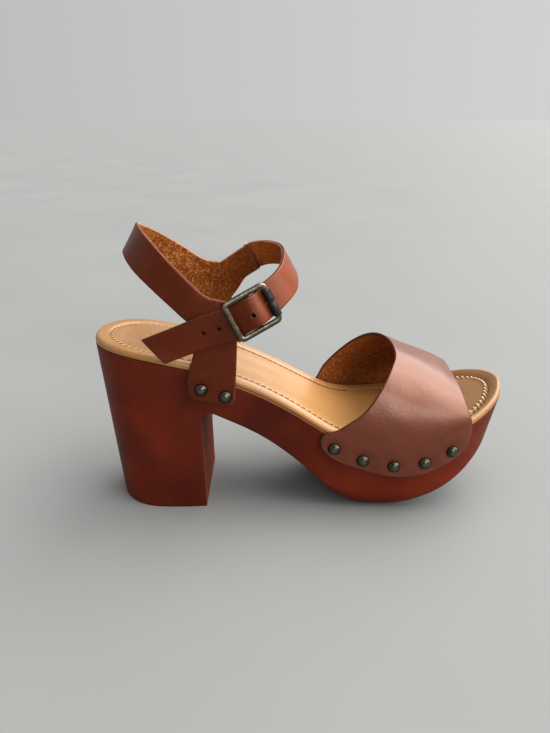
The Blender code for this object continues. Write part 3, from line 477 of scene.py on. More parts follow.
def sole_rows():
    """Fine rows of the platform table, evened out except at the heel's front edge."""
    s = refine(PLATFORM, PLATFORM_COLS, KS, flat=("x_t", "x_b"))
    n = len(s["x_t"])
    row = np.arange(n) / KS
    ends = (np.arange(n) == 0) | (np.arange(n) == n - 1)
    breast = (row >= 7.4) & (row <= 12.6)
    for c in ("x_t", "z_t"):
        s[c] = even(s[c], 14, False, mirrored=True)
    for c in ("lat_t", "med_t"):
        s[c] = even(s[c], 14, ends)
    for c in ("x_b", "z_b", "rnd"):
        s[c] = even(s[c], 14, breast, mirrored=True)
    for c in ("lat_b", "med_b"):
        s[c] = even(s[c], 14, ends | breast)
    s["z_b"] = np.where((row <= 8) | ((row >= 20.3) & (row <= 20.8)), 0.0, np.maximum(s["z_b"], 0.0))
    return s


def outline(s):
    L = np.stack([s["x_t"], -s["lat_t"]], -1)
    M = np.stack([s["x_t"], s["med_t"]], -1)

    def inward(c, sign):
        g = np.gradient(c, axis=0)
        n = unit(np.stack([-g[:, 1], g[:, 0]], -1)) * sign
        n[0], n[-1] = (1.0, 0.0), (-1.0, 0.0)
        return n
    return L, M, inward(L, 1.0), inward(M, -1.0)


def loft_faces(rows, n):
    return [(i * n + j, i * n + (j + 1) % n, (i + 1) * n + (j + 1) % n, (i + 1) * n + j)
            for i in range(rows - 1) for j in range(n)]


def platform(n_top=6, n_side=18, n_arc=8, n_bot=14):
    s = sole_rows()
    L, M, nl, nm = outline(s)
    under = mono(s["x_b"][ARCH0 * KS:], s["z_b"][ARCH0 * KS:])
    verts, bottom_shade_dist, painted_highlight_dist = [], [], []
    for i in range(len(s["x_t"])):
        zt, zb, r = s["z_t"][i], s["z_b"][i], s["rnd"][i]
        past = i >= ARCH0 * KS
        arch = 7.9 * KS < i < 17.0 * KS          # no painted dark bottom band under the waist
        half_t = 0.5 * (M[i, 1] - L[i, 1])
        soft = min(0.5, 0.5 * half_t)
        ring, f, tp = [], [], []
        a0 = np.array([L[i, 0] + nl[i, 0] * soft, L[i, 1] + nl[i, 1] * soft, zt])
        a1 = np.array([M[i, 0] + nm[i, 0] * soft, M[i, 1] + nm[i, 1] * soft, zt])
        for t in np.linspace(0, 1, n_top):
            ring.append(a0 + (a1 - a0) * t)
            f.append(9.0)
            tp.append(0.0)

        def side(yt, yb, n):
            a = np.array([s["x_t"][i], yt, zt])
            b = np.array([s["x_b"][i], yb, zb])
            half = 0.5 * abs(s["lat_b"][i] + s["med_b"][i])
            ri = min(r, 0.8 * half) if half > 0.05 else r
            e = b + np.array([n[0] * ri, n[1] * ri, 0.0])
            if past:
                e[2] = under(e[0])
            c = b + unit(a - b) * r
            edge0 = a + np.array([n[0] * soft, n[1] * soft, 0.0])
            shoulder = a + unit(c - a) * soft
            pts = [edge0 * (1 - t) ** 2 + a * 2 * t * (1 - t) + shoulder * t ** 2 for t in (0.33, 0.66, 1.0)]
            pts += [shoulder + (c - shoulder) * t for t in np.linspace(0, 1, n_side + 1)[1:]]
            pts += [c * (1 - t) ** 2 + b * 2 * t * (1 - t) + e * t ** 2 for t in np.linspace(0, 1, n_arc + 1)[1:]]
            pts = np.array(pts)
            d = np.concatenate([np.cumsum(np.linalg.norm(np.diff(pts[::-1], axis=0), axis=1))[::-1], [0.0]])
            d = np.where(np.arange(len(pts)) >= len(pts) - n_arc, np.minimum(d, np.abs(pts[:, 2] - zb) + 0.15), d)
            return pts, (d * 0 + 9.0 if arch else d), np.concatenate([[0.0], np.cumsum(np.linalg.norm(np.diff(pts, axis=0), axis=1))])
        down, fd, td = side(M[i, 1], s["med_b"][i], nm[i])
        up, fu, tu = side(L[i, 1], -s["lat_b"][i], nl[i])
        ring += list(down)
        f += list(fd)
        tp += list(td)
        for t in np.linspace(0, 1, n_bot + 1)[1:-1]:
            p = down[-1] + (up[-1] - down[-1]) * t
            p[0] -= s["scoop"][i] * (1 - (2 * t - 1) ** 2)
            ring.append(p)
            f.append(9.0 if arch else 0.0)
            tp.append(9.0)
        ring += list(up[::-1])
        f += list(fu[::-1])
        tp += list(tu[::-1])
        # moves the painted highlight on the upper edge away from the heel and the toe
        away = 3.0 * (max(0.0, min(1.0, (80.0 - s["x_t"][i]) / 12.0)) + max(0.0, min(1.0, (s["x_t"][i] - 190.0) / 20.0)))
        verts += ring
        bottom_shade_dist += f
        painted_highlight_dist += [t + away for t in tp]           # the painted highlight on the upper edge is kept to the waist
    n = len(ring)
    rows = len(s["x_t"])
    ob = mesh_object("sole", verts, loft_faces(rows, n), [WOOD], attrs={"bottom_shade_dist": bottom_shade_dist, "top": painted_highlight_dist}, sharp=38.0, weld=True)
    # heel front faces looking toward +X: mask for the painted lit colour and the duller finish
    front = [float(v.normal.x > 0.6 and v.co.x < 0.0) for v in ob.data.vertices]
    ob.data.attributes.new("cut", "FLOAT", "POINT").data.foreach_set("value", front)
    return place(ob, "sole_wood", "platform_sole")


def spline(points, n):
    """Smooth curve through the points, n samples, by length."""
    p = np.asarray(points, float)
    d = np.concatenate([[0.0], np.cumsum(np.linalg.norm(np.diff(p, axis=0), axis=1))])
    t = np.linspace(0, d[-1], n)
    return np.stack([mono(d, p[:, 0])(t), mono(d, p[:, 1])(t)], -1)


W = columns(WELT, WELT_COLS)
welt_lat, welt_med, welt_sunk = mono(W["x"], W["lat_in"]), mono(W["x"], W["med_in"]), mono(W["x"], W["sunk"])
N_RAIL = 40
RIM_PART = 0.42                                    # share of the rail's points on the rolled rim


def rail_profile(ds, sunk):
    """Footbed section from the outer edge inward: rolled rim, slope to the stitch line, edge of the panel."""
    g = 3.25 - 2.0 * sunk
    panel = 3.95 - 1.1 * sunk
    rim = [(0.45, 0.0), (0.1, 0.6), (0.0, 1.8), (0.35, 3.2), (1.2, 4.2), (2.3, RIM_H - 0.02)]
    slope = [(2.3, RIM_H - 0.02), (ds - 2.4, 4.45 - 1.25 * sunk), (ds - 0.9, 3.95 - 1.75 * sunk), (ds - 0.15, g), (ds + 0.2, g + 0.02),
             (ds + 0.75, panel - 0.35 - 0.35 * sunk), (ds + 1.7, panel - 0.03), (ds + 4.0, panel)]
    n0 = int(N_RAIL * RIM_PART)
    a = spline(rim, n0)
    b = spline(slope, N_RAIL - n0 + 1)
    return np.vstack([a, b[1:]])


def footbed(n_mid=14):
    s = sole_rows()
    L, M, nl, nm = outline(s)
    zt = mono(s["x_t"], s["z_t"])
    verts, groove, seam = [], [], []
    lines = {"lat": [], "med": []}
    for i in range(len(s["x_t"])):
        half = 0.5 * (M[i, 1] - L[i, 1])
        rails = []
        for p, n, ds, key in ((L[i], nl[i], float(welt_lat(L[i, 0])), "lat"), (M[i], nm[i], float(welt_med(M[i, 0])), "med")):
            prof = rail_profile(ds, float(welt_sunk(p[0])))
            q = p + n * prof[:, :1]
            rails.append(np.stack([q[:, 0], q[:, 1], zt(q[:, 0]) + GAP + prof[:, 1]], -1))
            # painted shade in the stitch groove, and over the slope and panel of the sunk toe
            groove_shade = np.exp(-((prof[:, 0] - ds) / 0.55) ** 2) * (1.0 - 0.3 * float(welt_sunk(p[0])))
            groove_shade = groove_shade * (0.3 + 0.7 * min(1.0, max(0.0, (p[0] - 25.0) / 30.0)))
            groove_shade[:int(N_RAIL * RIM_PART)] = 0.0
            sunk = float(welt_sunk(p[0]))
            slope = np.clip((prof[:, 0] - (ds - 4.9)) / 3.6, 0.0, 1.0)
            groove_shade = np.maximum(groove_shade, sunk * np.where(prof[:, 0] < ds + 0.3, 0.62 * slope ** 2 * (3 - 2 * slope), 0.42))
            sm = np.where(np.arange(N_RAIL) < 8, np.maximum(prof[:, 1], 0.0), 9.0)
            rails.append((groove_shade, sm))
            m = p + n * ds
            g = 3.25 - 2.0 * float(welt_sunk(p[0]))
            lines[key].append((m[0], m[1], zt(m[0]) + GAP + g, n[0], n[1], sunk))
        a, (ga, sa), b, (gb, sb) = rails
        mid = []
        for t in np.linspace(0, 1, n_mid + 1)[1:-1]:
            p = a[-1] + (b[-1] - a[-1]) * t
            p[2] -= 0.85 * math.sin(math.pi * min(1.0, 3.0 * min(t, 1 - t)) / 2) ** 2 * min(1.0, max(0.0, half - 9.0) / 14.0) * (1.0 - float(welt_sunk(p[0])))
            mid.append(p)
        low = [b[0] + (a[0] - b[0]) * t for t in np.linspace(0, 1, 7)[1:-1]]
        verts += list(a) + mid + list(b[::-1]) + low
        # painted shade also over the middle of the sunk toe panel
        groove += list(ga) + [0.42 * float(welt_sunk(q[0])) for q in mid] + list(gb[::-1]) + [0.0] * len(low)
        seam += list(sa) + [9.0] * len(mid) + list(sb[::-1]) + [0.0] * len(low)
    n = 2 * N_RAIL + n_mid - 1 + 5
    v = np.array(verts)
    ob = mesh_object("insole", v, loft_faces(len(s["x_t"]), n), [INSOLE], attrs={"groove": groove, "seam": seam}, sharp=50.0, weld=True)
    place(ob, "insole_leather", "footbed")
    stitch_line("insole_stitches", np.array(lines["lat"]), np.array(lines["med"]))
    return ob


def capsule(a, b, radius, seg=8, cap=3, tip=None):
    """Rounded bar from a to b, tapered where a has its own radius."""
    d = unit(b - a)
    u = unit(np.cross(d, (0.31, 0.22, 0.92)))
    w = np.cross(d, u)
    first = radius if tip is None else tip
    verts, faces = [a - d * first], []
    rings = []
    for end, sign, size in ((a, -1.0, first), (b, 1.0, radius)):
        for k in range(cap):
            f = (k + 1) / cap if sign < 0 else 1 - k / cap
            ang = f * math.pi / 2
            rings.append(end + d * sign * size * math.cos(ang))
            rad = size * math.sin(ang)
            for j in range(seg):
                t = 2 * math.pi * j / seg
                verts.append(rings[-1] + (u * math.cos(t) + w * math.sin(t)) * rad)
    verts.append(b + d * radius)
    m = len(rings)
    for j in range(seg):
        k = (j + 1) % seg
        faces.append((0, 1 + k, 1 + j))
        for i in range(m - 1):
            p, q = 1 + i * seg, 1 + (i + 1) * seg
            faces.append((p + j, p + k, q + k, q + j))
        p = 1 + (m - 1) * seg
        faces.append((p + j, p + k, len(verts) - 1))
    return verts, faces


def gather(name, parts, mats):
    verts, faces = [], []
    for v, f in parts:
        o = len(verts)
        verts += list(v)
        faces += [tuple(o + i for i in q) for q in f]
    return mesh_object(name, verts, faces, mats)


def stitch_line(name, la, me):
    """Whipped stitches in the groove all round the footbed."""
    loop = np.vstack([la, me[::-1][1:-1]])
    p, n = loop[:, :3], np.stack([loop[:, 3], loop[:, 4], 0 * loop[:, 3]], -1)
    d = np.concatenate([[0.0], np.cumsum(np.linalg.norm(np.diff(np.vstack([p, p[:1]]), axis=0), axis=1))])
    count = int(d[-1] / STITCH_STEP)
    parts, waist, toe = [], [], []
    rng = np.random.default_rng(4)
    for k in range(count):
        at = (k + 0.5) * d[-1] / count
        i = int(np.clip(np.searchsorted(d, at) - 1, 0, len(p) - 1))
        j = (i + 1) % len(p)
        f = (at - d[i]) / max(d[i + 1] - d[i], 1e-9)
        c = p[i] * (1 - f) + p[j] * f
        t = unit(p[j] - p[i])
        m = unit(n[i])
        sunk = loop[i, 5]
        run = min(1.0, max(0.0, (c[0] - 34.0) / 10.0)) * min(1.0, max(0.0, (158.0 - c[0]) / 10.0))      # running stitches at the waist
        slant = math.radians(38.0 + 26.0 * sunk - 30.0 * run + rng.uniform(-5, 5))
        along = t * math.cos(slant) + m * math.sin(slant)
        half = 0.5 * STITCH_LEN * rng.uniform(0.92, 1.05)
        up = np.array([0.0, 0.0, 1.0])
        a = c - along * half * (1 - 0.3 * sunk) + up * 0.30 + m * (0.25 + 0.2 * sunk)
        b = c + along * half * (1 + 0.1 * sunk) + up * (0.52 + 0.85 * sunk) + m * (0.25 + 0.2 * sunk)
        if sunk < 0.6:
            (parts if c[0] < 42.0 or c[0] > 150.0 else waist).append(capsule(a, b, STITCH_R))
        else:                                          # whipped over the edge of the toe's panel, thin end in the groove
            toe.append(capsule(a, b, 0.80, tip=0.24))
    # toe stitches carry the thread painted paler as if lit
    place(gather("toe_stitches", toe, [TOE_THREAD_LIT]), "insole_leather")
    # waist stitches carry the thread painted dark as shade
    place(gather("waist_stitches", waist, [WAIST_THREAD_SHADED]), "insole_leather")
    return place(gather(name, parts, [THREAD]), "insole_leather")


# ------------------------------------------------------------------ sheets of leather
def sheet(name, inner, outer, quads, mats, bulge=0.42, seg=5, split=None, attrs=None):
    """A leather sheet with a rounded cut edge. mats: outer face, inner face, edge and, with split, the edge's inner part."""
    n = len(inner)
    inner, outer = np.asarray(inner, float), np.asarray(outer, float)
    faces, kind, count = [], [], {}
    for q in quads:
        faces.append(tuple(reversed(q)))
        kind.append(1)
        faces.append(tuple(n + i for i in q))
        kind.append(0)
        for a, b in zip(q, q[1:] + q[:1]):
            count[(a, b)] = q
    border = {a: b for (a, b) in count if (b, a) not in count}
    out_dir = {}
    for a, b in border.items():
        mid = np.mean([inner[i] for i in count[(a, b)]], axis=0)
        t = unit(inner[b] - inner[a])
        away = 0.5 * (inner[a] + inner[b]) - mid
        away = away - t * (away @ t)
        for i in (a, b):
            out_dir[i] = out_dir.get(i, 0) + unit(away)
    verts = list(inner) + list(outer)
    own = list(range(n)) * 2
    rim = {}
    for a in border:
        away = unit(out_dir[a])
        ids = [a]
        for k in range(1, seg):
            f = k / seg
            verts.append(inner[a] * (1 - f) + outer[a] * f + away * bulge * math.sin(math.pi * f) ** 0.7)
            own.append(a)
            ids.append(len(verts) - 1)
        ids.append(n + a)
        rim[a] = ids
    for a, b in border.items():
        for k in range(seg):
            faces.append((rim[a][k], rim[b][k], rim[b][k + 1], rim[a][k + 1]))
            kind.append(3 if split is not None and (k + 0.5) / seg < split else 2)
    tree = kdtree.KDTree(len(border))
    keys = list(border)
    for k, a in enumerate(keys):
        tree.insert(0.5 * (inner[a] + outer[a]), k)
    tree.balance()
    dist = np.array([tree.find(v)[2] for v in verts])
    more = {key: np.asarray(val)[own] for key, val in (attrs or {}).items()}
    return mesh_object(name, verts, faces, mats, kind, {"rim": dist, **more}, sharp=60.0)


def grid_quads(rows, cols, index):
    return [[index(i, j), index(i, j + 1), index(i + 1, j + 1), index(i + 1, j)]
            for i in range(rows - 1) for j in range(cols - 1)]


V = columns(VAMP, VAMP_COLS)
vamp_arch, vamp_flank = mono(V["x"], V["arch"]), mono(V["x"], V["flank"])
E = columns(VAMP_EDGE, VAMP_EDGE_COLS)
edge_throat, edge_toe = mono(E["v"], E["x_throat"]), mono(E["v"], E["x_toe"])
taper_lat = mono(P["x_t"][ARCH0:], (P["lat_t"] - P["lat_b"])[ARCH0:] / (P["z_t"] - P["z_b"])[ARCH0:])
taper_med = mono(P["x_t"][ARCH0:], (P["med_t"] - P["med_b"])[ARCH0:] / (P["z_t"] - P["z_b"])[ARCH0:])


def vamp_point(x, v):
    yl, ym = -(lat(x) + 0.45), med(x) + 0.45
    half, mid = 0.5 * (ym - yl), 0.5 * (ym + yl)
    th = np.radians(np.clip((1 + v) * 90.0, 0.0, 180.0))
    c, sn = np.cos(th), np.abs(np.sin(th))
    y = mid - half * np.sign(c) * np.abs(c) ** (2 / VAMP_POWER)
    z = z_wood(x) + RIM_H + GAP + vamp_arch(x) * sn ** (2 / VAMP_POWER)
    z = z - np.maximum(np.abs(v) - 1, 0) * vamp_flank(x)
    drop = np.maximum(z_wood(x) - z, 0.0) * (np.abs(v) > 1)
    y = y + np.where(v < 0, taper_lat(x) * drop, -taper_med(x) * drop) * 0.9
    return np.stack([x, y, z], -1)


def surface_normals(f, u, w, du=1e-3, dw=1e-3):
    a = (f(u + du, w) - f(u - du, w))
    b = (f(u, w + dw) - f(u, w - dw))
    return unit(np.cross(a, b))


def vamp_v(x, z, sign):
    top = z_wood(x) + RIM_H + GAP
    return sign * (1.0 + (top - z) / vamp_flank(x))


def vamp(n_flank=24, n_arch=110, n_len=56):
    a = -2.06 + 1.06 * np.linspace(0, 1, n_flank + 1) ** 1.5
    m = np.linspace(-1.0, 1.0, n_arch + 1)[1:-1]
    vs = np.concatenate([a, m, -a[::-1]])
    throat, toe = edge_throat(vs), edge_toe(vs)
    pin = np.zeros(len(vs), bool)
    pin[[0, -1]] = True
    throat, toe = even(throat, 6, pin), even(toe, 6, pin)
    grid = np.zeros((len(vs), n_len + 1, 3))
    for i, v in enumerate(vs):
        x = np.linspace(throat[i], toe[i], n_len + 1)
        grid[i] = vamp_point(x, np.full_like(x, v))
    # even the superellipse out a little where arch and flank meet
    for _ in range(4):
        g = grid.copy()
        g[1:-1] = 0.25 * grid[:-2] + 0.5 * grid[1:-1] + 0.25 * grid[2:]
        keep = np.abs(vs)[:, None, None] > 1.25
        grid = np.where(keep, grid, g)
    du, dv = np.gradient(grid, axis=1), np.gradient(grid, axis=0)
    n = unit(np.cross(dv, du))
    ref = np.stack([0 * grid[..., 0], grid[..., 1] - 6.0, grid[..., 2] - (z_wood(grid[..., 0]) - 12.0)], -1)
    n = n * np.sign((n * ref).sum(-1, keepdims=True))
    flat = grid.reshape(-1, 3)
    nn = n.reshape(-1, 3)
    free = np.clip((1.15 - np.abs(np.repeat(vs, n_len + 1))) / 0.35, 0, 1)     # 1 on the arch, 0 where it lies on the wood
    sag = (0.22 * wave(flat, 34.0, 3) + 0.10 * wave(flat, 15.0, 8)) * free
    thick = LEATHER + 0 * sag
    for sign in (-1.0, 1.0):
        for x, z in VAMP_STUDS:
            c = vamp_point(np.array([x]), np.array([vamp_v(x, z, sign)]))[0]
            r = np.linalg.norm(flat - c, axis=1)
            thick = thick - 0.35 * np.exp(-(r / 5.0) ** 2) + 0.16 * np.exp(-((r - 7.5) / 2.6) ** 2)
    inner = flat + nn * sag[:, None]
    outer = inner + nn * thick[:, None]
    mcol = n_len + 1
    quads = grid_quads(len(vs), mcol, lambda i, j: i * mcol + j)
    ob = sheet("vamp_leather", inner, outer, quads, [UPPER, LINING, VAMP_EDGE_CUT])
    return place(ob, "upper_leather", "vamp")


# ------------------------------------------------------------------ straps
K = columns(ANKLE, ANKLE_COLS)
ank_back, ank_front, ank_w, ank_pinch, ank_lean = (mono(K["z"], K[c]) for c in ANKLE_COLS[1:])


def ankle_point(deg, z):
    ph = np.radians(deg)
    c, sn = np.cos(ph), np.sin(ph)
    a = np.where(c > 0, ANKLE_X - ank_back(z), ank_front(z) - ANKLE_X)
    q, back = 2 / ANKLE_POWER, np.maximum(c, 0.0)
    x = ANKLE_X - a * np.sign(c) * np.abs(c) ** q
    y = -ank_w(z) * np.sign(sn) * np.abs(sn) ** (q + ank_pinch(z) * back ** 3) + ank_lean(z) * back ** 2
    return np.stack([x, y, z + 0 * x], -1)


def ankle_normal(deg, z):
    a = ankle_point(deg + 2.0, z) - ankle_point(deg - 2.0, z)
    b = ankle_point(deg, z + 1.5) - ankle_point(deg, z - 1.5)
    n = unit(np.cross(a, b))
    ref = ankle_point(deg, z) - np.array([ANKLE_X, 0.0, 0.0])
    ref[..., 2] = 0.0
    return n * np.sign((n * ref).sum(-1, keepdims=True))


def ankle_strap(k=8, n_across=20):
    s = refine(STRAP, STRAP_COLS, k)
    ends = np.zeros(len(s["rear_deg"]), bool)
    ends[[0, -1]] = True
    for c in STRAP_COLS:
        s[c] = even(s[c], 5, ends)
    deg, z, ids = [], [], {}

    def add(d, h):
        deg.append(d)
        z.append(h)
        return len(deg) - 1
    m = n_across + 1
    rows = len(s["rear_deg"])
    for i in range(rows):
        for j in range(m):
            t = j / n_across
            ids[i, j] = add(s["rear_deg"][i] * (1 - t) + s["front_deg"][i] * t, s["rear_z"][i] * (1 - t) + s["front_z"][i] * t)
    quads = grid_quads(rows, m, lambda i, j: ids[i, j])
    for (r0, r1), table, flip in ((LATERAL_ARM_ROWS, LATERAL_ARM, True), (MEDIAL_ARM_ROWS, MEDIAL_ARM, False)):
        base = [ids[i, m - 1] for i in range(r0 * k, r1 * k + 1)]
        if flip:
            base = base[::-1]
        n = len(base)
        first = (deg[base[0]], z[base[0]], deg[base[-1]], z[base[-1]])
        arm = refine((first,) + tuple(table), ARM_COLS, k)
        last = base
        for i in range(1, len(arm["top_deg"])):
            line = []
            for j in range(n):
                t = j / (n - 1)
                fade = max(0.0, 1.0 - i / (len(arm["top_deg"]) - 1.0)) ** 1.5
                bend_d = deg[base[j]] - (first[0] * (1 - t) + first[2] * t)
                bend_z = z[base[j]] - (first[1] * (1 - t) + first[3] * t)
                line.append(add(arm["top_deg"][i] * (1 - t) + arm["low_deg"][i] * t + bend_d * fade,
                                arm["top_z"][i] * (1 - t) + arm["low_z"][i] * t + bend_z * fade))
            for j in range(n - 1):
                q = [last[j], line[j], line[j + 1], last[j + 1]]
                quads.append(q[::-1] if flip else q)
            last = line
    deg, z = np.array(deg), np.array(z)
    p, n = ankle_point(deg, z), ankle_normal(deg, z)
    free = np.clip((z - 100.0) / 15.0, 0, 1) * np.clip((104.0 - np.abs(deg)) / 12.0, 0, 1)
    sag = 0.30 * wave(p, 30.0, 12) * free
    # back seam: both faces dip where the two halves meet
    dip = 0.55 * np.exp(-(p[:, 1] / 0.55) ** 2) * (np.abs(deg) < 20)
    p = p + n * sag[:, None]
    thick = LEATHER - 0 * sag
    for x, h in TAB_STUDS:
        for sign in (-1.0, 1.0):
            r = np.hypot(p[:, 0] - x, p[:, 2] - h) + np.where(p[:, 1] * sign > 0, 0.0, 99.0)
            thick = thick - 0.30 * np.exp(-(r / 5.0) ** 2) + 0.14 * np.exp(-((r - 7.2) / 2.4) ** 2)
    ob = sheet("strap_ankle", p + n * dip[:, None], p + n * (thick - dip)[:, None], quads,
               [STRAPS, NAP, BROWN_EDGE, PALE_EDGE, DARK_EDGE], split=0.45)
    # the medial arm ends in a dark edge under the instep strap: painted shade where the strap covers it
    end = p[last] + n[last] * (0.5 * LEATHER)
    shift = np.array([X_SHIFT, Y_SHIFT, 0.0])
    for f in ob.data.polygons:
        near = np.linalg.norm(end[1:] - (np.array(f.center) / MM - shift), axis=1).min()
        if f.material_index in (2, 3) and near < 1.7:
            f.material_index = 4
    place(ob, "upper_leather", "ankle_strap")
    # stitches over the back seam, close together at its upper end
    parts = []
    for h in (158.2, 160.3, 162.0):
        q = ankle_point(np.array([0.0]), np.array([h]))[0]
        nn = ankle_normal(np.array([0.0]), np.array([h]))[0]
        c = q + nn * (LEATHER - 0.1)
        parts.append(capsule(c + np.array([0.5, -1.3, -0.4]), c + np.array([0.5, 1.3, 0.4]), 0.26))
    top = ankle_point(np.array([0.0]), np.array([162.9]))[0]
    for dy in (-1.3, 0.0, 1.3):
        a = top + np.array([-2.1, dy, -0.6])
        b = top + np.array([0.3, dy + 0.5, 0.25])
        parts.append(capsule(a, b, 0.34))
    place(gather("back_seam_stitches", parts, [SEAM_THREAD]), "upper_leather")
    return ob


def instep_point(s, i, t, extra):
    turn = s["low_turn"][i] * (1 - t) + s["top_turn"][i] * t
    z = s["low_z"][i] * (1 - t) + s["top_z"][i] * t
    return ankle_point(-turn, z) + ankle_normal(-turn, z) * (s["lift"][i] + extra)


def instep_grid(k, n_across):
    s = refine(INSTEP, INSTEP_COLS, k)
    rows = len(s["lift"])
    t = np.linspace(0, 1, n_across + 1)
    turn = s["low_turn"][:, None] * (1 - t) + s["top_turn"][:, None] * t
    z = s["low_z"][:, None] * (1 - t) + s["top_z"][:, None] * t
    p = ankle_point(-turn, z) + ankle_normal(-turn, z) * s["lift"][:, None, None]
    for _ in range(k):
        q = p.copy()
        q[1:-1] = 0.25 * p[:-2] + 0.5 * p[1:-1] + 0.25 * p[2:]
        p = q
    n = unit(np.cross(np.gradient(p, axis=0), np.gradient(p, axis=1)))
    out = p - np.array([ANKLE_X, 0.0, 0.0])
    out[..., 2] = 0.0
    return p, n * np.sign((n * out).sum(-1, keepdims=True))


def instep_strap(k=14, n_across=20):
    p, n = instep_grid(k, n_across)
    rows, m = p.shape[0], n_across + 1
    quads = grid_quads(rows, m, lambda i, j: i * m + j)
    inner = p.reshape(-1, 3)
    outer = (p + n * BILLET).reshape(-1, 3)
    # painted highlight mask: how far the outer face turns toward +X, the light's side
    painted_light_side = np.clip((n[..., 0].reshape(-1) - 0.25) / 0.45, 0.0, 1.0)
    ob = sheet("strap_instep", inner, outer, quads, [STRAPS, BILLET_BACK, DARK_EDGE, PALE_EDGE], bulge=0.32, split=0.45,
               attrs={"painted_light_side": painted_light_side})
    # punched holes
    parts = []
    for row, across in HOLES:
        i, j = int(round(row * k)), int(round(across * n_across))
        c, d = p[i, j], n[i, j]
        parts.append((c - d * 1.5, c + d * (BILLET + 1.5)))
    verts, faces = [], []
    for a, b in parts:
        d = unit(b - a)
        u = unit(np.cross(d, (0.3, 0.2, 0.9)))
        w = np.cross(d, u)
        o = len(verts)
        for e in (a, b):
            verts += [e + (u * math.cos(2 * math.pi * q / 20) + w * math.sin(2 * math.pi * q / 20)) * HOLE_R for q in range(20)]
        faces += [(o + q, o + (q + 1) % 20, o + 20 + (q + 1) % 20, o + 20 + q) for q in range(20)]
        faces += [tuple(o + q for q in range(20)), tuple(o + 39 - q for q in range(20))]
    cutter = mesh_object("punch", verts, faces, [STRAPS, BILLET_BACK, DARK_EDGE, PALE_EDGE], [2] * len(faces))
    mod = ob.modifiers.new("holes", "BOOLEAN")
    mod.operation, mod.solver, mod.object = "DIFFERENCE", "EXACT", cutter
    me = bpy.data.meshes.new_from_object(ob.evaluated_get(bpy.context.evaluated_depsgraph_get()))
    ob.modifiers.clear()
    ob.data = me
    me.name = "strap_instep"
    bpy.data.objects.remove(cutter, do_unlink=True)
    place(ob, "upper_leather", "instep_strap")
    # where it is sewn to the medial arm: two rows of stitches through both layers, and the knot at the top
    parts = []
    for row in (0.45, 1.45):
        i = int(round(row * k))
        for j in range(2, n_across - 1, 3):
            c = p[i, j] + n[i, j] * (BILLET + 0.05)
            t = unit(p[i, j + 1] - p[i, j - 1])
            parts.append(capsule(c - t * 0.8, c + t * 0.8, 0.28))
    i = int(round(1.34 * k))
    knot = p[i, n_across] + n[i, n_across] * (-0.5)
    for dx, dz in ((-0.9, 0.1), (0.1, 0.55), (0.9, 0.0)):
        c = knot + np.array([dx, -0.2, dz + 0.25])
        parts.append(capsule(c - n[i, n_across] * 0.9, c + n[i, n_across] * 0.9, 0.42))
    place(gather("instep_seam_stitches", parts, [SEAM_THREAD]), "upper_leather")
    return ob


# ------------------------------------------------------------------ buckle
def buckle_frame_axes():
    s = columns(INSTEP, INSTEP_COLS)
    left = instep_point(s, LEFT_BAR_ROW, 0.5, BILLET + BUCKLE_GAP + BAR_R)
    right = instep_point(s, RIGHT_BAR_ROW, 0.5, BILLET + BUCKLE_GAP + ROLLER_R)
    mid = instep_point(s, MID_BAR_ROW, 0.5, -BUCKLE_GAP - MID_R)
    e1 = unit(right - left)
    up = instep_point(s, LEFT_BAR_ROW, 1.0, 0.0) - instep_point(s, LEFT_BAR_ROW, 0.0, 0.0)
    up = up + instep_point(s, RIGHT_BAR_ROW, 1.0, 0.0) - instep_point(s, RIGHT_BAR_ROW, 0.0, 0.0)
    e2 = unit(up - e1 * (up @ e1))
    e3 = np.cross(e1, e2)
    if e3[1] > 0:
        e3 = -e3
    c = 0.5 * (left + right)
    half = 0.5 * np.linalg.norm(right - left)
    t = math.radians(BUCKLE_TURN)
    e1, e2 = e1 * math.cos(t) + e2 * math.sin(t), e2 * math.cos(t) - e1 * math.sin(t)
    return c, e1, e2, e3, half, (mid - c) @ e1, (mid - c) @ e3


def rounded_rectangle(hx, hy, r, per, straight):
    pts = []
    corners = ((hx - r, hy - r, 0), (-hx + r, hy - r, 90), (-hx + r, -hy + r, 180), (hx - r, -hy + r, 270))
    for cx, cy, a0 in corners:
        for i in range(per + 1):
            a = math.radians(a0 + 90.0 * i / per)
            pts.append((cx + r * math.cos(a), cy + r * math.sin(a)))
    out = []
    for i, p in enumerate(pts):
        q = pts[(i + 1) % len(pts)]
        out.append(p)
        if (i + 1) % (per + 1) == 0:
            out += [tuple(np.array(p) + (np.array(q) - np.array(p)) * t) for t in np.linspace(0, 1, straight + 1)[1:-1]]
    return np.array(out)


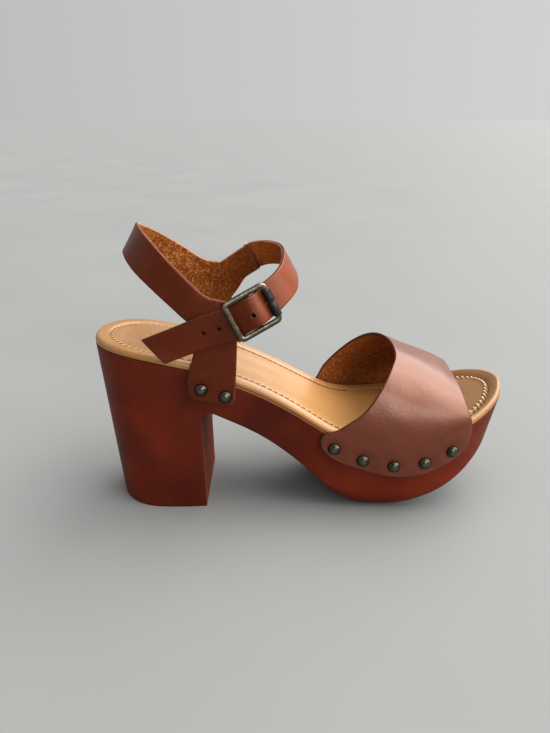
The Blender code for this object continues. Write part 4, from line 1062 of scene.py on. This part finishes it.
def buckle(per=10, seg=24, straight=10):
    c, e1, e2, e3, half, mid_x, mid_h = buckle_frame_axes()
    flat = rounded_rectangle(half, BUCKLE_HALF_H, BUCKLE_CORNER, per, straight)
    path = c + flat[:, :1] * e1 + flat[:, 1:] * e2
    tang = unit(np.roll(path, -1, axis=0) - np.roll(path, 1, axis=0))
    side = unit(np.cross(tang, e3))
    verts, wear_and_highlight = [], []
    for i in range(len(path)):
        for j in range(seg):
            a = 2 * math.pi * j / seg
            ca, sa = math.cos(a), math.sin(a)
            # flattened rod: a little wider than thick, with softened shoulders
            x = 1.50 * math.copysign(abs(ca) ** 0.62, ca)
            y = 1.25 * math.copysign(abs(sa) ** 0.62, sa)
            verts.append(path[i] + side[i] * x + e3 * y)
            turn = min(abs(flat[i, 0]) / half, abs(flat[i, 1]) / BUCKLE_HALF_H)
            # rubbed shoulders of the rod, brighter on the outer side, and a painted highlight at the frame's corners
            wear_and_highlight.append(max(0.0, abs(ca * sa) * 2 - 0.55) * 2.2 * (1.0 if sa > 0 else 0.3) * (0.35 + 0.65 * max(0.0, turn * 4 - 3)))
    n = len(path)
    faces = [(i * seg + j, i * seg + (j + 1) % seg, ((i + 1) % n) * seg + (j + 1) % seg, ((i + 1) % n) * seg + j)
             for i in range(n) for j in range(seg)]
    ob = mesh_object("buckle_ring", verts, faces, [BRASS], attrs={"wear_and_highlight": wear_and_highlight}, sharp=70.0)
    place(ob, "buckle_metal", "buckle_frame")
    m = c + e1 * mid_x + e3 * mid_h
    bv, bf = capsule(m - e2 * (BUCKLE_HALF_H + 0.4), m + e2 * (BUCKLE_HALF_H + 0.4), MID_R, 20, 4)
    bar = mesh_object("buckle_bar", bv, bf, [BRASS], attrs={"wear_and_highlight": [0.2] * len(bv)})
    place(bar, "buckle_metal")
    # ears from the ring down to the middle bar's ends
    ears = []
    for sign in (-1.0, 1.0):
        top = c + e1 * mid_x + e2 * sign * BUCKLE_HALF_H
        ears.append(capsule(top, m + e2 * sign * BUCKLE_HALF_H, 1.0, 16, 4))
    ear = gather("buckle_ears", ears, [BRASS])
    place(ear, "buckle_metal")
    r = c + e1 * half
    for name, node, sign in (("roller_upper", "buckle_roller_upper", 1.0), ("roller_lower", "buckle_roller_lower", -1.0)):
        a, b = r + e2 * sign * ROLLER_FROM, r + e2 * sign * ROLLER_TO
        place(tube(name, a, b, BAR_R + GAP, ROLLER_R + 0.05), "roller_metal", node)


def tube(name, a, b, r_in, r_out, seg=32):
    """Rolled sleeve with softened ends."""
    d = unit(b - a)
    u = unit(np.cross(d, (0.3, 0.2, 0.9)))
    w = np.cross(d, u)
    prof = [(0.0, r_in), (0.0, r_out - 0.35), (0.12, r_out - 0.1), (0.4, r_out)]
    length = np.linalg.norm(b - a)
    prof += [(length * t, r_out) for t in (0.25, 0.5, 0.75)]
    prof += [(length - 0.4, r_out), (length - 0.12, r_out - 0.1), (length, r_out - 0.35), (length, r_in)]
    verts, wear_and_highlight = [], []
    for h, r in prof:
        for j in range(seg):
            t = 2 * math.pi * j / seg
            verts.append(a + d * h + (u * math.cos(t) + w * math.sin(t)) * r)
            wear_and_highlight.append(0.8 if abs(r - r_out + 0.1) < 0.06 else 0.0)
    n = len(prof)
    faces = [(i * seg + j, i * seg + (j + 1) % seg, ((i + 1) % n) * seg + (j + 1) % seg, ((i + 1) % n) * seg + j)
             for i in range(n) for j in range(seg)]
    return mesh_object(name, verts, faces, [ROLLER], attrs={"wear_and_highlight": wear_and_highlight}, sharp=50.0)


# ------------------------------------------------------------------ nails
def stud(name, p, n, node, seg=36, rings=12):
    """Domed nail head with a thin rolled rim, sunk a little into the leather."""
    u = unit(np.cross(n, (0.0, 0.0, 1.0)))
    w = np.cross(n, u)
    prof = [(0.0, -0.25), (STUD_R - 0.25, -0.25), (STUD_R - 0.02, -0.05), (STUD_R, 0.2)]
    prof += [(STUD_R * 0.985 * math.cos(a), 0.28 + (STUD_H - 0.28) * math.sin(a)) for a in np.linspace(0.06, math.pi / 2, rings)[:-1]]
    verts, wear_and_highlight, faces = [p - n * 0.25], [0.0], []
    for r, h in prof[1:]:
        for j in range(seg):
            t = 2 * math.pi * j / seg
            verts.append(p + (u * math.cos(t) + w * math.sin(t)) * r + n * h)
            wear_and_highlight.append(max(0.0, h / STUD_H - 0.55) * 1.3)
    verts.append(p + n * STUD_H)
    wear_and_highlight.append(0.6)
    m = len(prof) - 1
    for j in range(seg):
        k = (j + 1) % seg
        faces.append((0, 1 + k, 1 + j))
        for i in range(m - 1):
            a, b = 1 + i * seg, 1 + (i + 1) * seg
            faces.append((a + j, a + k, b + k, b + j))
        a = 1 + (m - 1) * seg
        faces.append((a + j, a + k, len(verts) - 1))
    ob = mesh_object(name, verts, faces, [GUNMETAL], attrs={"wear_and_highlight": wear_and_highlight})
    return place(ob, "stud_metal", node)


def studs():
    for side, sign in (("lateral", -1.0), ("medial", 1.0)):
        for i, (x, z) in enumerate(VAMP_STUDS, 1):
            xa, va = np.array([x]), np.array([vamp_v(x, z, sign)])
            p = vamp_point(xa, va)
            n = surface_normals(vamp_point, xa, va)
            n = n * np.sign(n[:, 1:2] * sign)
            stud("nail_vamp_%s_%d" % (side, i), (p + n * (LEATHER + 0.05))[0], n[0], "vamp_stud_%s_%d" % (side, i))
        for i, (x, z) in enumerate(TAB_STUDS, 1):
            deg = np.linspace(60.0, 120.0, 601)
            d = -sign * deg[np.argmin(np.abs(ankle_point(deg, np.full_like(deg, z))[:, 0] - x))]
            da, za = np.array([d]), np.array([z])
            n = ankle_normal(da, za)
            stud("nail_tab_%s_%d" % (side, i), (ankle_point(da, za) + n * (LEATHER + 0.05))[0], n[0], "tab_stud_%s_%d" % (side, i))


# ------------------------------------------------------------------ stage
def stage():
    me = bpy.data.meshes.new("floor")
    r = 12.0
    me.from_pydata([(-r, -r, 0), (r, -r, 0), (r, r, 0), (-r, r, 0)], [], [(0, 1, 2, 3)])
    s = Shade("pale_floor", Specular_IOR_Level=0.3)
    f = s.noise(5.0, 3.0, 0.5)
    col = s.mix(s.remap(f, 0.3, 0.7), (0.180, 0.183, 0.181), (0.193, 0.196, 0.194))
    s.set(Base_Color=col, Roughness=s.remap(f, 0.3, 0.7, 0.6, 0.7))
    me.materials.append(s.mat)
    floor = bpy.data.objects.new("floor", me)
    bpy.context.scene.collection.objects.link(floor)


def lights():
    """One broad soft source round the right side and overhead, a weak one on the left, and a pale surround that is dim in front."""
    for name, power, wide, az, el in (("softbox_front", 1.35, 31.0, -70.0, 17.0), ("softbox_side", 3.3, 60.0, -20.0, 37.0),
                                      ("softbox_back", 2.3, 52.0, 44.0, 42.0), ("softbox_top", 1.7, 50.0, 20.0, 80.0),
                                      ("fill", 0.35, 75.0, 208.0, 36.0)):
        l = bpy.data.lights.new(name, "SUN")
        l.energy, l.angle, l.color = power, math.radians(wide), (1.0, 0.985, 0.965)
        ob = bpy.data.objects.new(name, l)
        bpy.context.scene.collection.objects.link(ob)
        ob.rotation_euler = (0.0, math.radians(90.0 - el), math.radians(az))
    w = bpy.data.worlds.new("studio")
    bpy.context.scene.world = w
    w.use_nodes = True
    nt = w.node_tree
    way = nt.nodes.new("ShaderNodeTexCoord").outputs["Generated"]
    split = nt.nodes.new("ShaderNodeSeparateXYZ")
    nt.links.new(way, split.inputs[0])
    ramp = nt.nodes.new("ShaderNodeMapRange")
    ramp.interpolation_type = "SMOOTHSTEP"
    for key, val in (("From Min", -0.95), ("From Max", -0.35), ("To Min", 0.24), ("To Max", 0.45)):
        ramp.inputs[key].default_value = val
    nt.links.new(split.outputs["Y"], ramp.inputs["Value"])
    nt.nodes["Background"].inputs[0].default_value = (0.985, 0.99, 0.985, 1.0)
    toward, across = nt.nodes.new("ShaderNodeMapRange"), nt.nodes.new("ShaderNodeMapRange")
    toward.interpolation_type = "SMOOTHSTEP"
    for key, a, b in (("From Min", 0.60, -0.5), ("From Max", 0.86, 0.5), ("To Min", 0.0, -0.008), ("To Max", 1.0, 0.128)):
        toward.inputs[key].default_value, across.inputs[key].default_value = a, b
    nt.links.new(split.outputs["Y"], toward.inputs["Value"])
    nt.links.new(split.outputs["X"], across.inputs["Value"])
    glow = nt.nodes.new("ShaderNodeMath")
    glow.operation = "MULTIPLY_ADD"
    for i, out in enumerate((toward.outputs[0], across.outputs[0], ramp.outputs[0])):
        nt.links.new(out, glow.inputs[i])
    nt.links.new(glow.outputs[0], nt.nodes["Background"].inputs[1])


def camera():
    cam = bpy.data.cameras.new("photo_camera")
    cam.lens, cam.sensor_width, cam.clip_start = 660.0 / 733.0 * 36.0, 36.0, 0.01
    ob = bpy.data.objects.new("photo_camera", cam)
    bpy.context.scene.collection.objects.link(ob)
    ob.location = ((103.8 + X_SHIFT) * MM, (-364.7 + Y_SHIFT) * MM, 0.2223)
    ob.rotation_euler = (math.radians(90.0 - 21.5), 0.0, 0.0)
    bpy.context.scene.camera = ob


camera()
platform()
footbed()
vamp()
ankle_strap()
instep_strap()
buckle()
studs()
stage()
lights()
bpy.context.scene.view_settings.view_transform = "Standard"
bpy.context.scene.view_settings.look = "Medium High Contrast"
